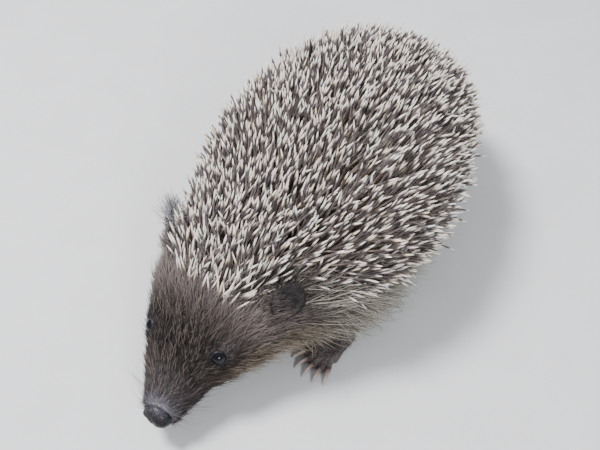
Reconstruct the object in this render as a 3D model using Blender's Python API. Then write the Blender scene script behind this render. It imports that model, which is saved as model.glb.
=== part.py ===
"""A western European hedgehog, Erinaceus europaeus, standing on all fours with its nose lowered.

The solids give the outline at the tips of the coat. The animal faces -Y with +Z up, and its origin lies on
the floor below the middle of its box. One lofted core runs from muzzle to rump and is parted by thin cuts.
The mantle of spines is a shell over its back. Lengths in the tables are millimetres, and meshes are metres.
"""

import math

import bmesh
import bpy
import numpy as np
from mathutils import Matrix, Vector

MM = 0.001
GAP = 0.3  # clearance between neighbouring pieces

# The core: distance along the body, height of the centre, half width, rise above and drop below the centre.
CORE = (
    ("muzzle tip", -116.0, 15.6, 0.0, 0.0, 0.0),
    ("lips", -113.0, 16.0, 5.6, 4.4, 4.8),
    ("muzzle", -105.0, 19.0, 10.0, 7.8, 8.0),
    ("stop", -97.0, 23.0, 14.8, 10.8, 11.8),
    ("brow", -88.0, 27.6, 20.6, 15.4, 16.0),
    ("cheeks", -74.0, 33.0, 28.5, 21.0, 21.5),
    ("ears", -58.0, 38.0, 34.5, 25.0, 26.5),
    ("neck", -44.0, 40.0, 39.0, 27.5, 30.0),
    ("shoulders", -20.0, 42.0, 47.5, 33.0, 33.5),
    ("ribs", 15.0, 42.5, 52.0, 38.0, 34.5),
    ("loins", 46.0, 42.0, 49.5, 38.0, 34.0),
    ("hips", 75.0, 40.5, 41.5, 33.0, 31.0),
    ("rump", 97.0, 37.5, 29.5, 23.0, 24.0),
    ("tail base", 111.0, 35.0, 0.0, 0.0, 0.0),
)
CORE_RINGS = 36
CORE_SIDES = 24
END_DENSITY = 0.75  # how much closer the rings lie at the two ends than in the middle
ROUNDNESS_ABOVE = 2.15  # exponents of the superellipse of each section, above and below its centre
ROUNDNESS_BELOW = 3.8

# The centreline seen from above: the trunk bows a little to the animal's left, and so does the nose.
CENTRELINE = ((-118.0, 9.0), (-95.0, 3.6), (-62.0, 0.5), (-15.0, 6.0), (45.0, -3.0), (111.0, -20.0))

# Cuts across the core, as distances along the body.
MUZZLE_CUT = -98.0
NECK_CUT = -50.0
TRUNK_CUT = -30.0
MOUTH = ((-128.0, 13.0), (-114.0, 13.0), (-106.0, 14.2), (-98.0, 17.2), (-91.0, 21.0))

# The mantle: its depth from skin to spine tips along the body, and its lower rim seen from the side.
MANTLE_DEPTH = (
    (-78.0, 2.5), (-66.0, 6.5), (-52.0, 9.5), (-30.0, 12.0), (20.0, 13.5), (78.0, 12.5), (111.0, 11.0),
)
RIM = (
    (-77.0, 48.0), (-68.0, 52.0), (-58.0, 55.0), (-48.0, 50.0),
    (-36.0, 41.0), (0.0, 34.0), (70.0, 30.0), (125.0, 25.0),
)
RIM_THINNING = 0.25  # share of the full depth left at the rim
RIM_ROUNDING = 0.65  # share of the height from the rim to the top over which the mantle thickens
RIM_STEPS = 26
CROWN_LEAN = 10.0  # how far the front edge of the mantle leans back at the crown
CROWN_TOP = 95.0

# Head features. Facets are the columns and rows of a ball.
EYE_RADIUS = 3.6
EYE_FACETS = (12, 8)
EYE = Vector((15.4, -89.5, 34.0))
NOSE = Vector((0.0, -115.4, 16.4))
NOSE_RADII = (5.7, 4.6, 5.0)
NOSE_FACETS = (12, 8)
NOSTRIL = Vector((3.8, -118.8, 15.6))
NOSTRIL_RADII = (1.5, 1.5, 1.3)
NOSTRIL_FACETS = (8, 6)
EAR = Vector((31.5, -59.0, 52.0))
EAR_RADII = (7.8, 4.4, 9.8)
EAR_FACETS = (14, 8)
EAR_WALL = 1.0
EAR_HOLLOW_SHIFT = 2.6
EAR_FACING = (math.radians(-14.0), math.radians(22.0), math.radians(38.0))

# The tail stub: distance along the body, height and radius.
TAIL = ((94.0, 22.0, 5.0), (103.0, 20.0, 4.6), (111.0, 17.0, 3.7), (117.0, 14.0, 2.7), (120.0, 12.5, 1.5))

CLAW_SIDES = 5
CLAW_STEPS = 3

# Each foot: where its wrist or heel stands and its heading outwards in degrees.
FEET = {
    "front_left": {"at": (42.0, -33.0), "heading": -8},
    "front_right": {"at": (-33.0, -27.0), "heading": -4},
    "hind_left": {"at": (27.0, 72.0), "heading": 14},
    "hind_right": {"at": (-36.0, 62.0), "heading": 14},
}
# The length and half width of the sole, the height at its back, and the lengths of toes and claws.
FOOT_SIZES = {
    "front": {"sole": 15.0, "wide": 7.4, "high": 9.5, "toe": 8.0, "claw": 6.5},
    "hind": {"sole": 27.0, "wide": 7.0, "high": 10.0, "toe": 8.5, "claw": 6.0},
}
# Each leg from the trunk down: place beside the wrist or heel, height and radius.
LEGS = {
    "front": ((-9, 16, 33, 9.5), (-3, 17, 23, 9), (0, 11, 15, 7), (0, 3, 9.5, 5.6), (0, -2, 5, 5)),
    "hind": ((-5, -22, 33, 13), (1, -20, 24, 12.5), (3, -9, 17, 9), (1, 1, 10.5, 6.2), (0, 2.5, 5, 5.2)),
}
LEG_SIDES = 10
ANKLE_SHARE = 0.62  # height of the cut between leg and paw, as a share of the paw's height

SOLE_SIDES = 10
SOLE_BACK = ((-5.0, 0.45, 0.55), (-2.5, 0.72, 0.95))  # length behind the wrist, shares of width and height
SOLE_FRONT = ((0.3, 0.78, 0.88), (0.75, 0.98, 0.72), (1.05, 0.88, 0.55), (1.2, 0.5, 0.35))  # shares of each
SOLE_RAISED = 0.42  # height of a section's centre as a share of its own, so that the floor cuts it flat

TOE_RADIUS = 2.3
TOE_SIDES = 6
TOE_SPREAD = (-44, -21, 0, 21, 42)
TOE_REACH = (0.72, 0.95, 1.0, 0.95, 0.76)
TOE_PATH = ((-0.3, 2.6, 0.9), (0.35, 3.1, 1.0), (0.85, 2.4, 0.9), (1.0, 2.0, 0.55))  # share, height, girth

CLAW_ROOT_HEIGHT = 2.9
CLAW_TIP_HEIGHT = 0.45
CLAW_RADIUS = 1.05
CLAW_START = 0.86  # share of the toe's length at which its claw starts

COLOURS = {
    "fur": (0.13, 0.095, 0.08),
    "flank": (0.36, 0.30, 0.24),
    "spines": (0.42, 0.35, 0.28),
    "skin": (0.17, 0.125, 0.115),
    "nose": (0.022, 0.018, 0.02),
    "eye": (0.006, 0.006, 0.008),
    "ear": (0.10, 0.085, 0.085),
    "claw": (0.52, 0.42, 0.34),
}
ROUGHNESS = {"eye": 0.05, "nose": 0.3, "claw": 0.4}


def clear_scene():
    for obj in list(bpy.data.objects):
        bpy.data.objects.remove(obj, do_unlink=True)


def material(name):
    """The Principled material of that name, made on first use."""
    found = bpy.data.materials.get(name)
    if found:
        return found
    made = bpy.data.materials.new(name)
    made.use_nodes = True
    shader = made.node_tree.nodes["Principled BSDF"]
    shader.inputs["Base Color"].default_value = (*COLOURS[name], 1.0)
    shader.inputs["Roughness"].default_value = ROUGHNESS.get(name, 0.75)
    shader.inputs["Metallic"].default_value = 0.0
    return made


def smooth_through(points):
    """A function that passes smoothly through (x, y) pairs without overshooting them."""
    xs, ys = (np.array(values, float) for values in zip(*points))
    steps = np.diff(xs)
    slopes = np.diff(ys) / steps
    tangents = np.zeros(len(xs))
    tangents[0], tangents[-1] = slopes[0], slopes[-1]
    for i in range(1, len(xs) - 1):
        before, after = slopes[i - 1], slopes[i]
        if before * after > 0:
            tangents[i] = 2 * before * after / (before + after)

    def value(x):
        x = min(max(x, xs[0]), xs[-1])
        i = min(int(np.searchsorted(xs, x, side="right")) - 1, len(steps) - 1)
        t = (x - xs[i]) / steps[i]
        rise = ys[i] * (1 + 2 * t) * (1 - t) ** 2 + ys[i + 1] * t * t * (3 - 2 * t)
        return rise + steps[i] * (tangents[i] * t * (1 - t) ** 2 - tangents[i + 1] * t * t * (1 - t))

    return value


def ease(x, low, high):
    """0 below low, 1 above high, and smooth between them."""
    t = min(max((x - low) / (high - low), 0.0), 1.0)
    return t * t * (3 - 2 * t)


CENTRE_HEIGHT = smooth_through([(y, z) for _, y, z, _, _, _ in CORE])
HALF_WIDTH_SQUARED = smooth_through([(y, width**2) for _, y, _, width, _, _ in CORE])
RISE_SQUARED = smooth_through([(y, rise**2) for _, y, _, _, rise, _ in CORE])
DROP_SQUARED = smooth_through([(y, drop**2) for _, y, _, _, _, drop in CORE])
RIM_HEIGHT = smooth_through(RIM)
DEPTH = smooth_through(MANTLE_DEPTH)
SIDEWAYS = smooth_through(CENTRELINE)


def bent(point):
    """A point given on a straight animal, moved with the bend of its centreline."""
    x, y, z = point
    slope = (SIDEWAYS(y + 1) - SIDEWAYS(y - 1)) / 2
    offset = Matrix.Rotation(-math.atan(slope), 3, "Z") @ Vector((x, 0.0, 0.0))
    return Vector((SIDEWAYS(y) + offset.x, y + offset.y, z))


def mesh_object(name, vertices, faces, finish="fur", guide=False):
    """A closed mesh object from points in millimetres, facing out. A guide only shapes other objects."""
    mesh = bpy.data.meshes.new(name)
    mesh.from_pydata([Vector(v) * MM for v in vertices], [], faces)
    shape = bmesh.new()
    shape.from_mesh(mesh)
    bmesh.ops.triangulate(shape, faces=shape.faces)
    bmesh.ops.recalc_face_normals(shape, faces=shape.faces)
    shape.to_mesh(mesh)
    shape.free()
    mesh.materials.append(material(finish))
    mesh.shade_smooth()
    obj = bpy.data.objects.new(name, mesh)
    bpy.context.scene.collection.objects.link(obj)
    if guide:
        obj.hide_render = True
        obj.display_type = "WIRE"
    return obj


def loft(name, rings, start=None, end=None, **settings):
    """Skins rings of equal size, closed by fans to the start and end points, or by caps without them."""
    sides = len(rings[0])
    vertices = [point for ring in rings for point in ring]
    faces = []
    for row in range(len(rings) - 1):
        near, far = row * sides, (row + 1) * sides
        faces += [(near + i, near + (i + 1) % sides, far + (i + 1) % sides, far + i) for i in range(sides)]
    for first, tip in ((0, start), ((len(rings) - 1) * sides, end)):
        if tip is None:
            faces.append(tuple(first + i for i in range(sides)))
            continue
        faces += [(first + i, first + (i + 1) % sides, len(vertices)) for i in range(sides)]
        vertices.append(tip)
    return mesh_object(name, vertices, faces, **settings)


def limb(name, path, sides, **settings):
    """A tapered round limb through (x, y, z, radius) points."""
    rings = []
    for i, (x, y, z, radius) in enumerate(path):
        ahead = Vector(path[min(i + 1, len(path) - 1)][:3]) - Vector(path[max(i - 1, 0)][:3])
        turn = ahead.to_track_quat("Z", "Y").to_matrix()
        ring = []
        for k in range(sides):
            angle = 2 * math.pi * k / sides
            spoke = turn @ Vector((radius * math.cos(angle), radius * math.sin(angle), 0.0))
            ring.append(Vector((x, y, z)) + spoke)
        rings.append(ring)
    return loft(name, rings, **settings)


def ball(name, centre, radii, columns, rows, turn=Matrix.Identity(3), **settings):
    """An ellipsoid with its poles along its own Y axis."""
    rings = []
    for row in range(1, rows):
        latitude = math.pi * row / rows
        ring = []
        for k in range(columns):
            angle = 2 * math.pi * k / columns
            girth = math.sin(latitude)
            local = (math.cos(angle) * girth, -math.cos(latitude), math.sin(angle) * girth)
            ring.append(centre + turn @ Vector([share * radius for share, radius in zip(local, radii)]))
        rings.append(ring)
    pole = turn @ Vector((0.0, radii[1], 0.0))
    return loft(name, rings, centre - pole, centre + pole, **settings)


def block(name, low, high):
    """A guide box between two corners."""
    corners = [(x, y, z) for x in (low[0], high[0]) for y in (low[1], high[1]) for z in (low[2], high[2])]
    faces = [(0, 1, 3, 2), (4, 6, 7, 5), (0, 4, 5, 1), (2, 3, 7, 6), (0, 2, 6, 4), (1, 5, 7, 3)]
    return mesh_object(name, corners, faces, guide=True)


def side_prism(name, outline, half_width=120.0):
    """A guide whose (y, z) outline is drawn in the side view, extruded across the body."""
    rings = [[(x, y, z) for y, z in outline] for x in (-half_width, half_width)]
    return loft(name, rings, guide=True)


def boolean(obj, other, operation):
    modifier = obj.modifiers.new(operation.lower() + "_" + other.name, "BOOLEAN")
    modifier.operation = operation
    modifier.solver = "EXACT"
    modifier.object = other
    return obj


def core(name, growth=None, **settings):
    """The whole lofted body, or a copy that stands growth(point) millimetres proud along its normals."""
    first, last = CORE[0][1], CORE[-1][1]
    rings = []
    for row in range(1, CORE_RINGS):
        share = row / CORE_RINGS
        share -= END_DENSITY * math.sin(2 * math.pi * share) / (2 * math.pi)
        y = first + (last - first) * share
        width = math.sqrt(HALF_WIDTH_SQUARED(y))
        rise, drop = math.sqrt(RISE_SQUARED(y)), math.sqrt(DROP_SQUARED(y))
        ring = []
        for k in range(CORE_SIDES):
            angle = 2 * math.pi * k / CORE_SIDES
            power = 2 / (ROUNDNESS_ABOVE if k <= CORE_SIDES / 2 else ROUNDNESS_BELOW)
            across = math.copysign(abs(math.cos(angle)) ** power, math.cos(angle))
            along = math.copysign(abs(math.sin(angle)) ** power, math.sin(angle))
            height = CENTRE_HEIGHT(y) + along * (rise if along > 0 else drop)
            ring.append(bent((across * width, y, height)))
        rings.append(ring)
    tips = [bent((0.0, y, z)) for _, y, z, _, _, _ in (CORE[0], CORE[-1])]
    made = loft(name, rings, *tips, **settings)
    if growth:
        places = [(v.co.copy(), v.normal.copy()) for v in made.data.vertices]
        for vertex, (place, normal) in zip(made.data.vertices, places):
            vertex.co = place + normal * growth(place / MM) * MM
    return made


def mantle_growth(point):
    """Depth of the spines over the core, thinner towards the rim."""
    rim, top = RIM_HEIGHT(point.y), CENTRE_HEIGHT(point.y) + math.sqrt(RISE_SQUARED(point.y))
    thinning = RIM_THINNING + (1 - RIM_THINNING) * ease(point.z, rim, rim + RIM_ROUNDING * (top - rim))
    return DEPTH(point.y) * thinning


def make_core_pieces():
    """Muzzle, lower jaw, head, neck and trunk, parted by thin cuts."""
    half = GAP / 2
    spans = {
        "muzzle": (-150.0, MUZZLE_CUT - half, "fur"),
        "lower_jaw": (-150.0, MUZZLE_CUT - half, "fur"),
        "head": (MUZZLE_CUT + half, NECK_CUT - half, "fur"),
        "neck": (NECK_CUT + half, TRUNK_CUT - half, "fur"),
        "trunk": (TRUNK_CUT + half, 150.0, "flank"),
    }
    pieces = {}
    for name, (front, back, finish) in spans.items():
        pieces[name] = core(name, finish=finish)
        boolean(pieces[name], block(name + "_span", (-100, front, -20), (100, back, 140)), "INTERSECT")
    below = [*MOUTH, (MOUTH[-1][0], -30.0), (MOUTH[0][0], -30.0)]
    boolean(pieces["lower_jaw"], side_prism("below_mouth", below), "INTERSECT")
    raised = [(y, z + GAP) for y, z in MOUTH] + below[len(MOUTH) :]
    boolean(pieces["muzzle"], side_prism("below_lips", raised), "DIFFERENCE")
    return pieces


def make_mantle(grown_core):
    """The shell of spines over crown, back and rump."""
    mantle = core("mantle", mantle_growth, finish="spines")
    boolean(mantle, grown_core, "DIFFERENCE")
    front, back = RIM[0][0], RIM[-1][0]
    steps = [front + (back - front) * (i / RIM_STEPS) ** 1.7 for i in range(RIM_STEPS + 1)]
    outline = [(y, RIM_HEIGHT(y)) for y in steps]
    outline += [(back, -20.0), (-150.0, -20.0), (-150.0, CROWN_TOP), (front + CROWN_LEAN, CROWN_TOP)]
    boolean(mantle, side_prism("below_mantle", outline), "DIFFERENCE")
    return mantle


def make_eyes(head):
    for side, label in ((1, "left"), (-1, "right")):
        place = bent((side * EYE.x, EYE.y, EYE.z))
        ball("eye_" + label, place, (EYE_RADIUS,) * 3, *EYE_FACETS, finish="eye")
        socket = ball("socket_" + label, place, (EYE_RADIUS + GAP,) * 3, *EYE_FACETS, guide=True)
        boolean(head, socket, "DIFFERENCE")


def make_nose(muzzle, jaw):
    place = bent(NOSE)
    nose = ball("nose", place, NOSE_RADII, *NOSE_FACETS, finish="nose")
    for side, label in ((1, "left"), (-1, "right")):
        nostril = bent((side * NOSTRIL.x, NOSTRIL.y, NOSTRIL.z))
        hole = ball("nostril_" + label, nostril, NOSTRIL_RADII, *NOSTRIL_FACETS, guide=True)
        boolean(nose, hole, "DIFFERENCE")
    seat = ball("nose_seat", place, [r + GAP for r in NOSE_RADII], *NOSE_FACETS, guide=True)
    boolean(muzzle, seat, "DIFFERENCE")
    boolean(jaw, seat, "DIFFERENCE")


def make_ears(grown_core, mantle):
    """Round cupped ears that open forwards and outwards, in a notch of the mantle's edge."""
    pitch, roll, yaw = EAR_FACING
    for side, label in ((1, "left"), (-1, "right")):
        place = bent((side * EAR.x, EAR.y, EAR.z))
        turn = Matrix.Rotation(side * yaw, 3, "Z") @ Matrix.Rotation(side * roll, 3, "Y")
        turn = turn @ Matrix.Rotation(pitch, 3, "X")
        ear = ball("ear_" + label, place, EAR_RADII, *EAR_FACETS, turn, finish="ear")
        hollow_centre = place + turn @ Vector((0.0, -EAR_HOLLOW_SHIFT, 0.0))
        hollow_radii = [radius - EAR_WALL for radius in EAR_RADII]
        hollow = ball("hollow_" + label, hollow_centre, hollow_radii, *EAR_FACETS, turn, guide=True)
        boolean(ear, hollow, "DIFFERENCE")
        boolean(ear, grown_core, "DIFFERENCE")
        notch = ball("notch_" + label, place, [r + 2 * GAP for r in EAR_RADII], *EAR_FACETS, turn, guide=True)
        boolean(mantle, notch, "DIFFERENCE")


def make_tail(grown_core):
    path = [(*bent((0.0, y, z)), radius) for y, z, radius in TAIL]
    tail = limb("tail", path, sides=10, finish="skin")
    boolean(tail, grown_core, "DIFFERENCE")


def along_foot(foot, side, forward, outward, height):
    """A place on a foot, from its own forward and outward directions."""
    heading = math.radians(foot["heading"])
    x = outward * math.cos(heading) + forward * math.sin(heading)
    y = outward * math.sin(heading) - forward * math.cos(heading)
    return Vector((foot["at"][0] + side * x, foot["at"][1] + y, height))


def make_sole(name, foot, side):
    """The pad of a foot from heel to toe roots."""
    sections = list(SOLE_BACK) + [(share * foot["sole"], wide, high) for share, wide, high in SOLE_FRONT]
    rings = []
    for forward, width_share, height_share in sections:
        half_width, height = foot["wide"] * width_share, foot["high"] * height_share
        ring = []
        for k in range(SOLE_SIDES):
            angle = 2 * math.pi * k / SOLE_SIDES
            rise = height * (SOLE_RAISED + (1 - SOLE_RAISED) * math.sin(angle))
            ring.append(along_foot(foot, side, forward, half_width * math.cos(angle), rise))
        rings.append(ring)
    return loft(name, rings, finish="skin")


def toe_line(foot, number):
    """Root and direction of a toe, in the foot's own forward and outward directions, and its length."""
    spread = math.radians(TOE_SPREAD[number])
    forward = math.cos(spread) * foot["wide"] * 0.35 + foot["sole"] * 0.72
    root = Vector((forward, math.sin(spread) * foot["wide"] * 0.95))
    direction = Vector((math.cos(spread * 0.6), math.sin(spread * 0.6)))
    return root, direction, foot["toe"] * TOE_REACH[number]


def make_toe(name, foot, side, number, paw):
    root, direction, length = toe_line(foot, number)
    path = []
    for share, height, thickness in TOE_PATH:
        spot = root + direction * (length * share)
        path.append((*along_foot(foot, side, spot.x, spot.y, height), TOE_RADIUS * thickness))
    toe = limb(f"{name}_toe_{number + 1}", path, sides=TOE_SIDES, guide=True)
    boolean(paw, toe, "UNION")


def make_claw(name, foot, side, number, paw):
    """A curved tapered claw whose root sits in a socket at the toe's tip."""
    root, direction, length = toe_line(foot, number)

    def place(share, height):
        spot = root + direction * (length * CLAW_START + foot["claw"] * share)
        return along_foot(foot, side, spot.x, spot.y, height)

    path, socket_path = [], []
    for step in range(CLAW_STEPS):
        share = step / CLAW_STEPS
        spot = place(share, CLAW_ROOT_HEIGHT - (CLAW_ROOT_HEIGHT - CLAW_TIP_HEIGHT) * share**2)
        radius = CLAW_RADIUS * (1 - share) ** 0.7
        path.append((*spot, radius))
        socket_path.append((*spot, radius + GAP))
    tip = place(1.0, CLAW_TIP_HEIGHT)
    limb(name, path, sides=CLAW_SIDES, end=tip, finish="claw")
    socket = limb(name + "_socket", socket_path, sides=CLAW_SIDES, end=tip, guide=True)
    boolean(paw, socket, "DIFFERENCE")


def make_foot(label, foot, side):
    """A sole with five toes and claws, flat where it meets the floor and cut level at the ankle."""
    paw = make_sole("paw_" + label, foot, side)
    for number in range(len(TOE_SPREAD)):
        make_toe(paw.name, foot, side, number, paw)
    boolean(paw, block(paw.name + "_floor", (-150, -150, -30), (150, 150, 0)), "DIFFERENCE")
    for number in range(len(TOE_SPREAD)):
        make_claw(f"claw_{label}_{number + 1}", foot, side, number, paw)
    ankle = ANKLE_SHARE * foot["high"] - GAP / 2
    boolean(paw, block("below_ankle_" + label, (-150, -150, -50), (150, 150, ankle)), "INTERSECT")


def make_leg(label, foot, side, grown_core):
    """A leg from the trunk's surface down to its wrist or heel."""
    kind = label.split("_")[0]
    path = [(foot["at"][0] + side * x, foot["at"][1] + y, z, radius) for x, y, z, radius in LEGS[kind]]
    leg = limb("leg_" + label, path, sides=LEG_SIDES, finish="fur")
    boolean(leg, grown_core, "DIFFERENCE")
    ankle = ANKLE_SHARE * foot["high"] + GAP / 2
    boolean(leg, block("above_ankle_" + label, (-150, -150, ankle), (150, 150, 150)), "INTERSECT")


def make_limbs(grown_core):
    for label, place in FEET.items():
        foot = {**place, **FOOT_SIZES[label.split("_")[0]]}
        side = 1 if label.endswith("left") else -1
        make_foot(label, foot, side)
        make_leg(label, foot, side, grown_core)


def centre_on_floor():
    """Moves everything so that the origin is on the floor below the middle of the box of the shown pieces."""
    graph = bpy.context.evaluated_depsgraph_get()
    corners = []
    for obj in bpy.data.objects:
        if not obj.hide_render:
            shown = obj.evaluated_get(graph)
            corners += [obj.matrix_world @ Vector(corner) for corner in shown.bound_box]
    low = Vector([min(c[i] for c in corners) for i in range(3)])
    high = Vector([max(c[i] for c in corners) for i in range(3)])
    shift = Vector((-(low.x + high.x) / 2, -(low.y + high.y) / 2, -low.z))
    for obj in bpy.data.objects:
        obj.location += shift


def main():
    clear_scene()
    grown_core = core("grown_core", lambda point: GAP, guide=True)
    pieces = make_core_pieces()
    mantle = make_mantle(grown_core)
    make_eyes(pieces["head"])
    make_nose(pieces["muzzle"], pieces["lower_jaw"])
    make_ears(grown_core, mantle)
    make_tail(grown_core)
    make_limbs(grown_core)
    bpy.context.view_layer.update()
    centre_on_floor()


main()
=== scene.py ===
"""The looks of the hedgehog: skin, banded spines, fur in tufts, face, ears, claws, a studio and a camera."""

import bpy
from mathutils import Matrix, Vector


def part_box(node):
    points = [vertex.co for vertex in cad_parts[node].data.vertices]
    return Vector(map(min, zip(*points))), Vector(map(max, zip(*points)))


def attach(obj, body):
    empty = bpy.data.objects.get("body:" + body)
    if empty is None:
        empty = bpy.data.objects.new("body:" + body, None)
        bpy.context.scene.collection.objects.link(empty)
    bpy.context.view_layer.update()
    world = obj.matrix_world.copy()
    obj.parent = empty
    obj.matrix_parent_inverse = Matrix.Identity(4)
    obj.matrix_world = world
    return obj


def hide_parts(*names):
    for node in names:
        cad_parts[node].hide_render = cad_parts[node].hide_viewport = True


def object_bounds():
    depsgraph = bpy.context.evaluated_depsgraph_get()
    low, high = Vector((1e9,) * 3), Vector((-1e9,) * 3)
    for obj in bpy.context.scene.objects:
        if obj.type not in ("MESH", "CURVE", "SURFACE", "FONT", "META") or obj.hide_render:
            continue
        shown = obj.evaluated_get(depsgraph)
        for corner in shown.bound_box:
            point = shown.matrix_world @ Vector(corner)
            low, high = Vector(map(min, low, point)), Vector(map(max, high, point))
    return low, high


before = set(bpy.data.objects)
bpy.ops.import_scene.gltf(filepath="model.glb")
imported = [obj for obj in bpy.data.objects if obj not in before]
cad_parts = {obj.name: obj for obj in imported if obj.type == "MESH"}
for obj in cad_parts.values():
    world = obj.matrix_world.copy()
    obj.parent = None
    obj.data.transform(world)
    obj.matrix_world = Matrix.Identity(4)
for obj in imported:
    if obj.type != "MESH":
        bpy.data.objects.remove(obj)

import copy
import math

import bmesh
import bpy
import numpy as np
from mathutils import Matrix, Vector, noise
from mathutils.bvhtree import BVHTree
from mathutils.kdtree import KDTree

CAD_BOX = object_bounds()
MM = 0.001
UP = Vector((0, 0, 1))

LEGS = ("front_left", "front_right", "hind_left", "hind_right")
SIDES = {"left": 1.0, "right": -1.0}
RUFFLED = "right"  # the ear whose hair stands up in the photo
BODY_NODES = ("muzzle", "lower_jaw", "head", "neck", "trunk")
LEG_NODES = tuple("leg_" + leg for leg in LEGS)
PAW_NODES = tuple("paw_" + leg for leg in LEGS)
FLESH_NODES = BODY_NODES + LEG_NODES + PAW_NODES + ("tail",)
CLAWS = tuple((leg, number) for leg in LEGS for number in range(1, 6))


def node_middle(name):
    low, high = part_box(name)
    return (Vector(low) + Vector(high)) / 2


NOSE = node_middle("nose")
EYES = {side: node_middle("eye_" + side) for side in SIDES}
EARS = {side: node_middle("ear_" + side) for side in SIDES}
EYE_LINE = (EYES["left"] + EYES["right"]) / 2
EAR_LINE = (EARS["left"] + EARS["right"]) / 2
HEAD_LENGTH = EAR_LINE.y - NOSE.y

# Depths of the coat over the skin for each node of flesh, and under the mantle, in mm.
COAT_DEPTH = {"muzzle": -0.2, "lower_jaw": 0.2, "head": 1.7, "neck": 3.6, "trunk": 5.5, "tail": 0.8}
COAT_DEPTH.update({name: 1.3 for name in LEG_NODES})
COAT_DEPTH.update({name: 0.3 for name in PAW_NODES})
DEPTH_UNDER_SPINES = 2.6

# Colours of skin and hair, linear.
FACE = (0.066, 0.049, 0.045)
FACE_DARK = (0.016, 0.012, 0.012)
MUZZLE_GREY = (0.066, 0.056, 0.059)
NOSE_RIM_GREY = (0.25, 0.235, 0.275)
CHEEK_TAN = (0.235, 0.185, 0.135)
CROWN = (0.26, 0.212, 0.198)
SKIRT = (0.255, 0.228, 0.19)
BELLY = (0.22, 0.185, 0.15)
LIMB = (0.120, 0.100, 0.093)
# Skin under the spines: its own grey-brown, darkened partly as painted shade in the gaps between the spines.
SKIN_AND_SHADE_UNDER_SPINES = (0.115, 0.098, 0.094)
PAW_SKIN = (0.128, 0.102, 0.099)
EAR_HAIR = (0.20, 0.19, 0.20)
EAR_HAIR_DARK = (0.045, 0.038, 0.035)
EAR_HAIR_BEHIND = (0.43, 0.41, 0.425)
WISP_GREY = (0.48, 0.455, 0.485)
EAR_DARK = (0.050, 0.042, 0.040)
EAR_RIM_BROWN = (0.085, 0.068, 0.062)


# --- small helpers

def ramp(values, low, high):
    """0 below low, 1 above high, and smooth between them."""
    share = np.clip((np.asarray(values, float) - low) / (high - low), 0.0, 1.0)
    return share * share * (3 - 2 * share)


def bell(values, width):
    """1 where values are 0, falling smoothly to both sides."""
    return np.exp(-((values / width) ** 2))


def unit(vectors):
    return vectors / np.maximum(np.linalg.norm(vectors, axis=-1, keepdims=True), 1e-9)


def mix(first, second, share):
    """Blends two colours or arrays of colours by a share for each row."""
    share = np.asarray(share)[..., None]
    return np.asarray(first) * (1 - share) + np.asarray(second) * share


def gap_to(points, centre):
    """Distance of each point from a place."""
    return np.linalg.norm(points - np.array(centre), axis=1)


def least_gap(points, centres):
    """Distance of each point from the nearest of several places."""
    return np.min([gap_to(points, centre) for centre in centres.values()], axis=0)


def head_share(points):
    """How far back points are: 0 at the nose and 1 at the ears."""
    return (points[:, 1] - NOSE.y) / HEAD_LENGTH


def aside_of(points):
    """How far points are from the head's middle plane, which turns with the head."""
    middle = np.interp(points[:, 1], (NOSE.y, EYE_LINE.y, EAR_LINE.y), (NOSE.x, EYE_LINE.x, EAR_LINE.x))
    return np.abs(points[:, 0] - middle)


def tree_of(points):
    """A search tree that finds the nearest of some points."""
    tree = KDTree(len(points))
    for order, place in enumerate(points):
        tree.insert(place, order)
    tree.balance()
    return tree


def link(obj):
    bpy.context.scene.collection.objects.link(obj)
    return obj


def with_modifier(mesh, kind, name, **settings):
    """A new mesh with one modifier applied."""
    obj = link(bpy.data.objects.new(name, mesh))
    modifier = obj.modifiers.new(name, kind)
    for key, value in settings.items():
        setattr(modifier, key, value)
    graph = bpy.context.evaluated_depsgraph_get()
    result = bpy.data.meshes.new_from_object(obj.evaluated_get(graph))
    result.name = name
    bpy.data.objects.remove(obj, do_unlink=True)
    return result


def node_shape(name):
    """The welded mesh of a CAD node as a bmesh."""
    shape = bmesh.new()
    shape.from_mesh(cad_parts[name].data)
    bmesh.ops.remove_doubles(shape, verts=shape.verts, dist=1e-6)
    bmesh.ops.recalc_face_normals(shape, faces=shape.faces)
    shape.normal_update()
    return shape


def node_tree(*names):
    """A search tree over the faces of some nodes, and the name of the node for each face."""
    vertices, faces, owners = [], [], []
    for name in names:
        shape = node_shape(name)
        start = len(vertices)
        vertices += [v.co.copy() for v in shape.verts]
        faces += [[start + v.index for v in face.verts] for face in shape.faces]
        owners += [name] * len(shape.faces)
        shape.free()
    return BVHTree.FromPolygons(vertices, faces), owners


def ring_of(middle, side, up, radius, sides, squash=1.0):
    """Points that run round a middle."""
    turns = (2 * math.pi * k / sides for k in range(sides))
    return [middle + (side * math.cos(a) * squash + up * math.sin(a)) * radius for a in turns]


def tube_faces(rows, sides, closed=False):
    """Quads between rows of points that run round, and from the last row to the first if closed."""
    faces = []
    for row in range(rows if closed else rows - 1):
        far = (row + 1) % rows
        for k in range(sides):
            after = (k + 1) % sides
            faces.append((row * sides + k, row * sides + after, far * sides + after, far * sides + k))
    return faces


def smooth_object(name, vertices, faces, material):
    """An object of these points and faces, smooth and with its faces turned outwards."""
    mesh = bpy.data.meshes.new(name)
    mesh.from_pydata(vertices, [], faces)
    shape = bmesh.new()
    shape.from_mesh(mesh)
    bmesh.ops.recalc_face_normals(shape, faces=shape.faces)
    shape.to_mesh(mesh)
    shape.free()
    mesh.materials.append(material)
    mesh.shade_smooth()
    return link(bpy.data.objects.new(name, mesh))


def capped_tube(name, rows, ends, material):
    """A closed tube through rows of points that run round, with a point at each end."""
    count, sides = len(rows), len(rows[0])
    faces = tube_faces(count, sides)
    for first, tip in ((0, count * sides), ((count - 1) * sides, count * sides + 1)):
        faces += [(first + k, first + (k + 1) % sides, tip) for k in range(sides)]
    return smooth_object(name, [point for row in rows for point in row] + list(ends), faces, material)


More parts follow.
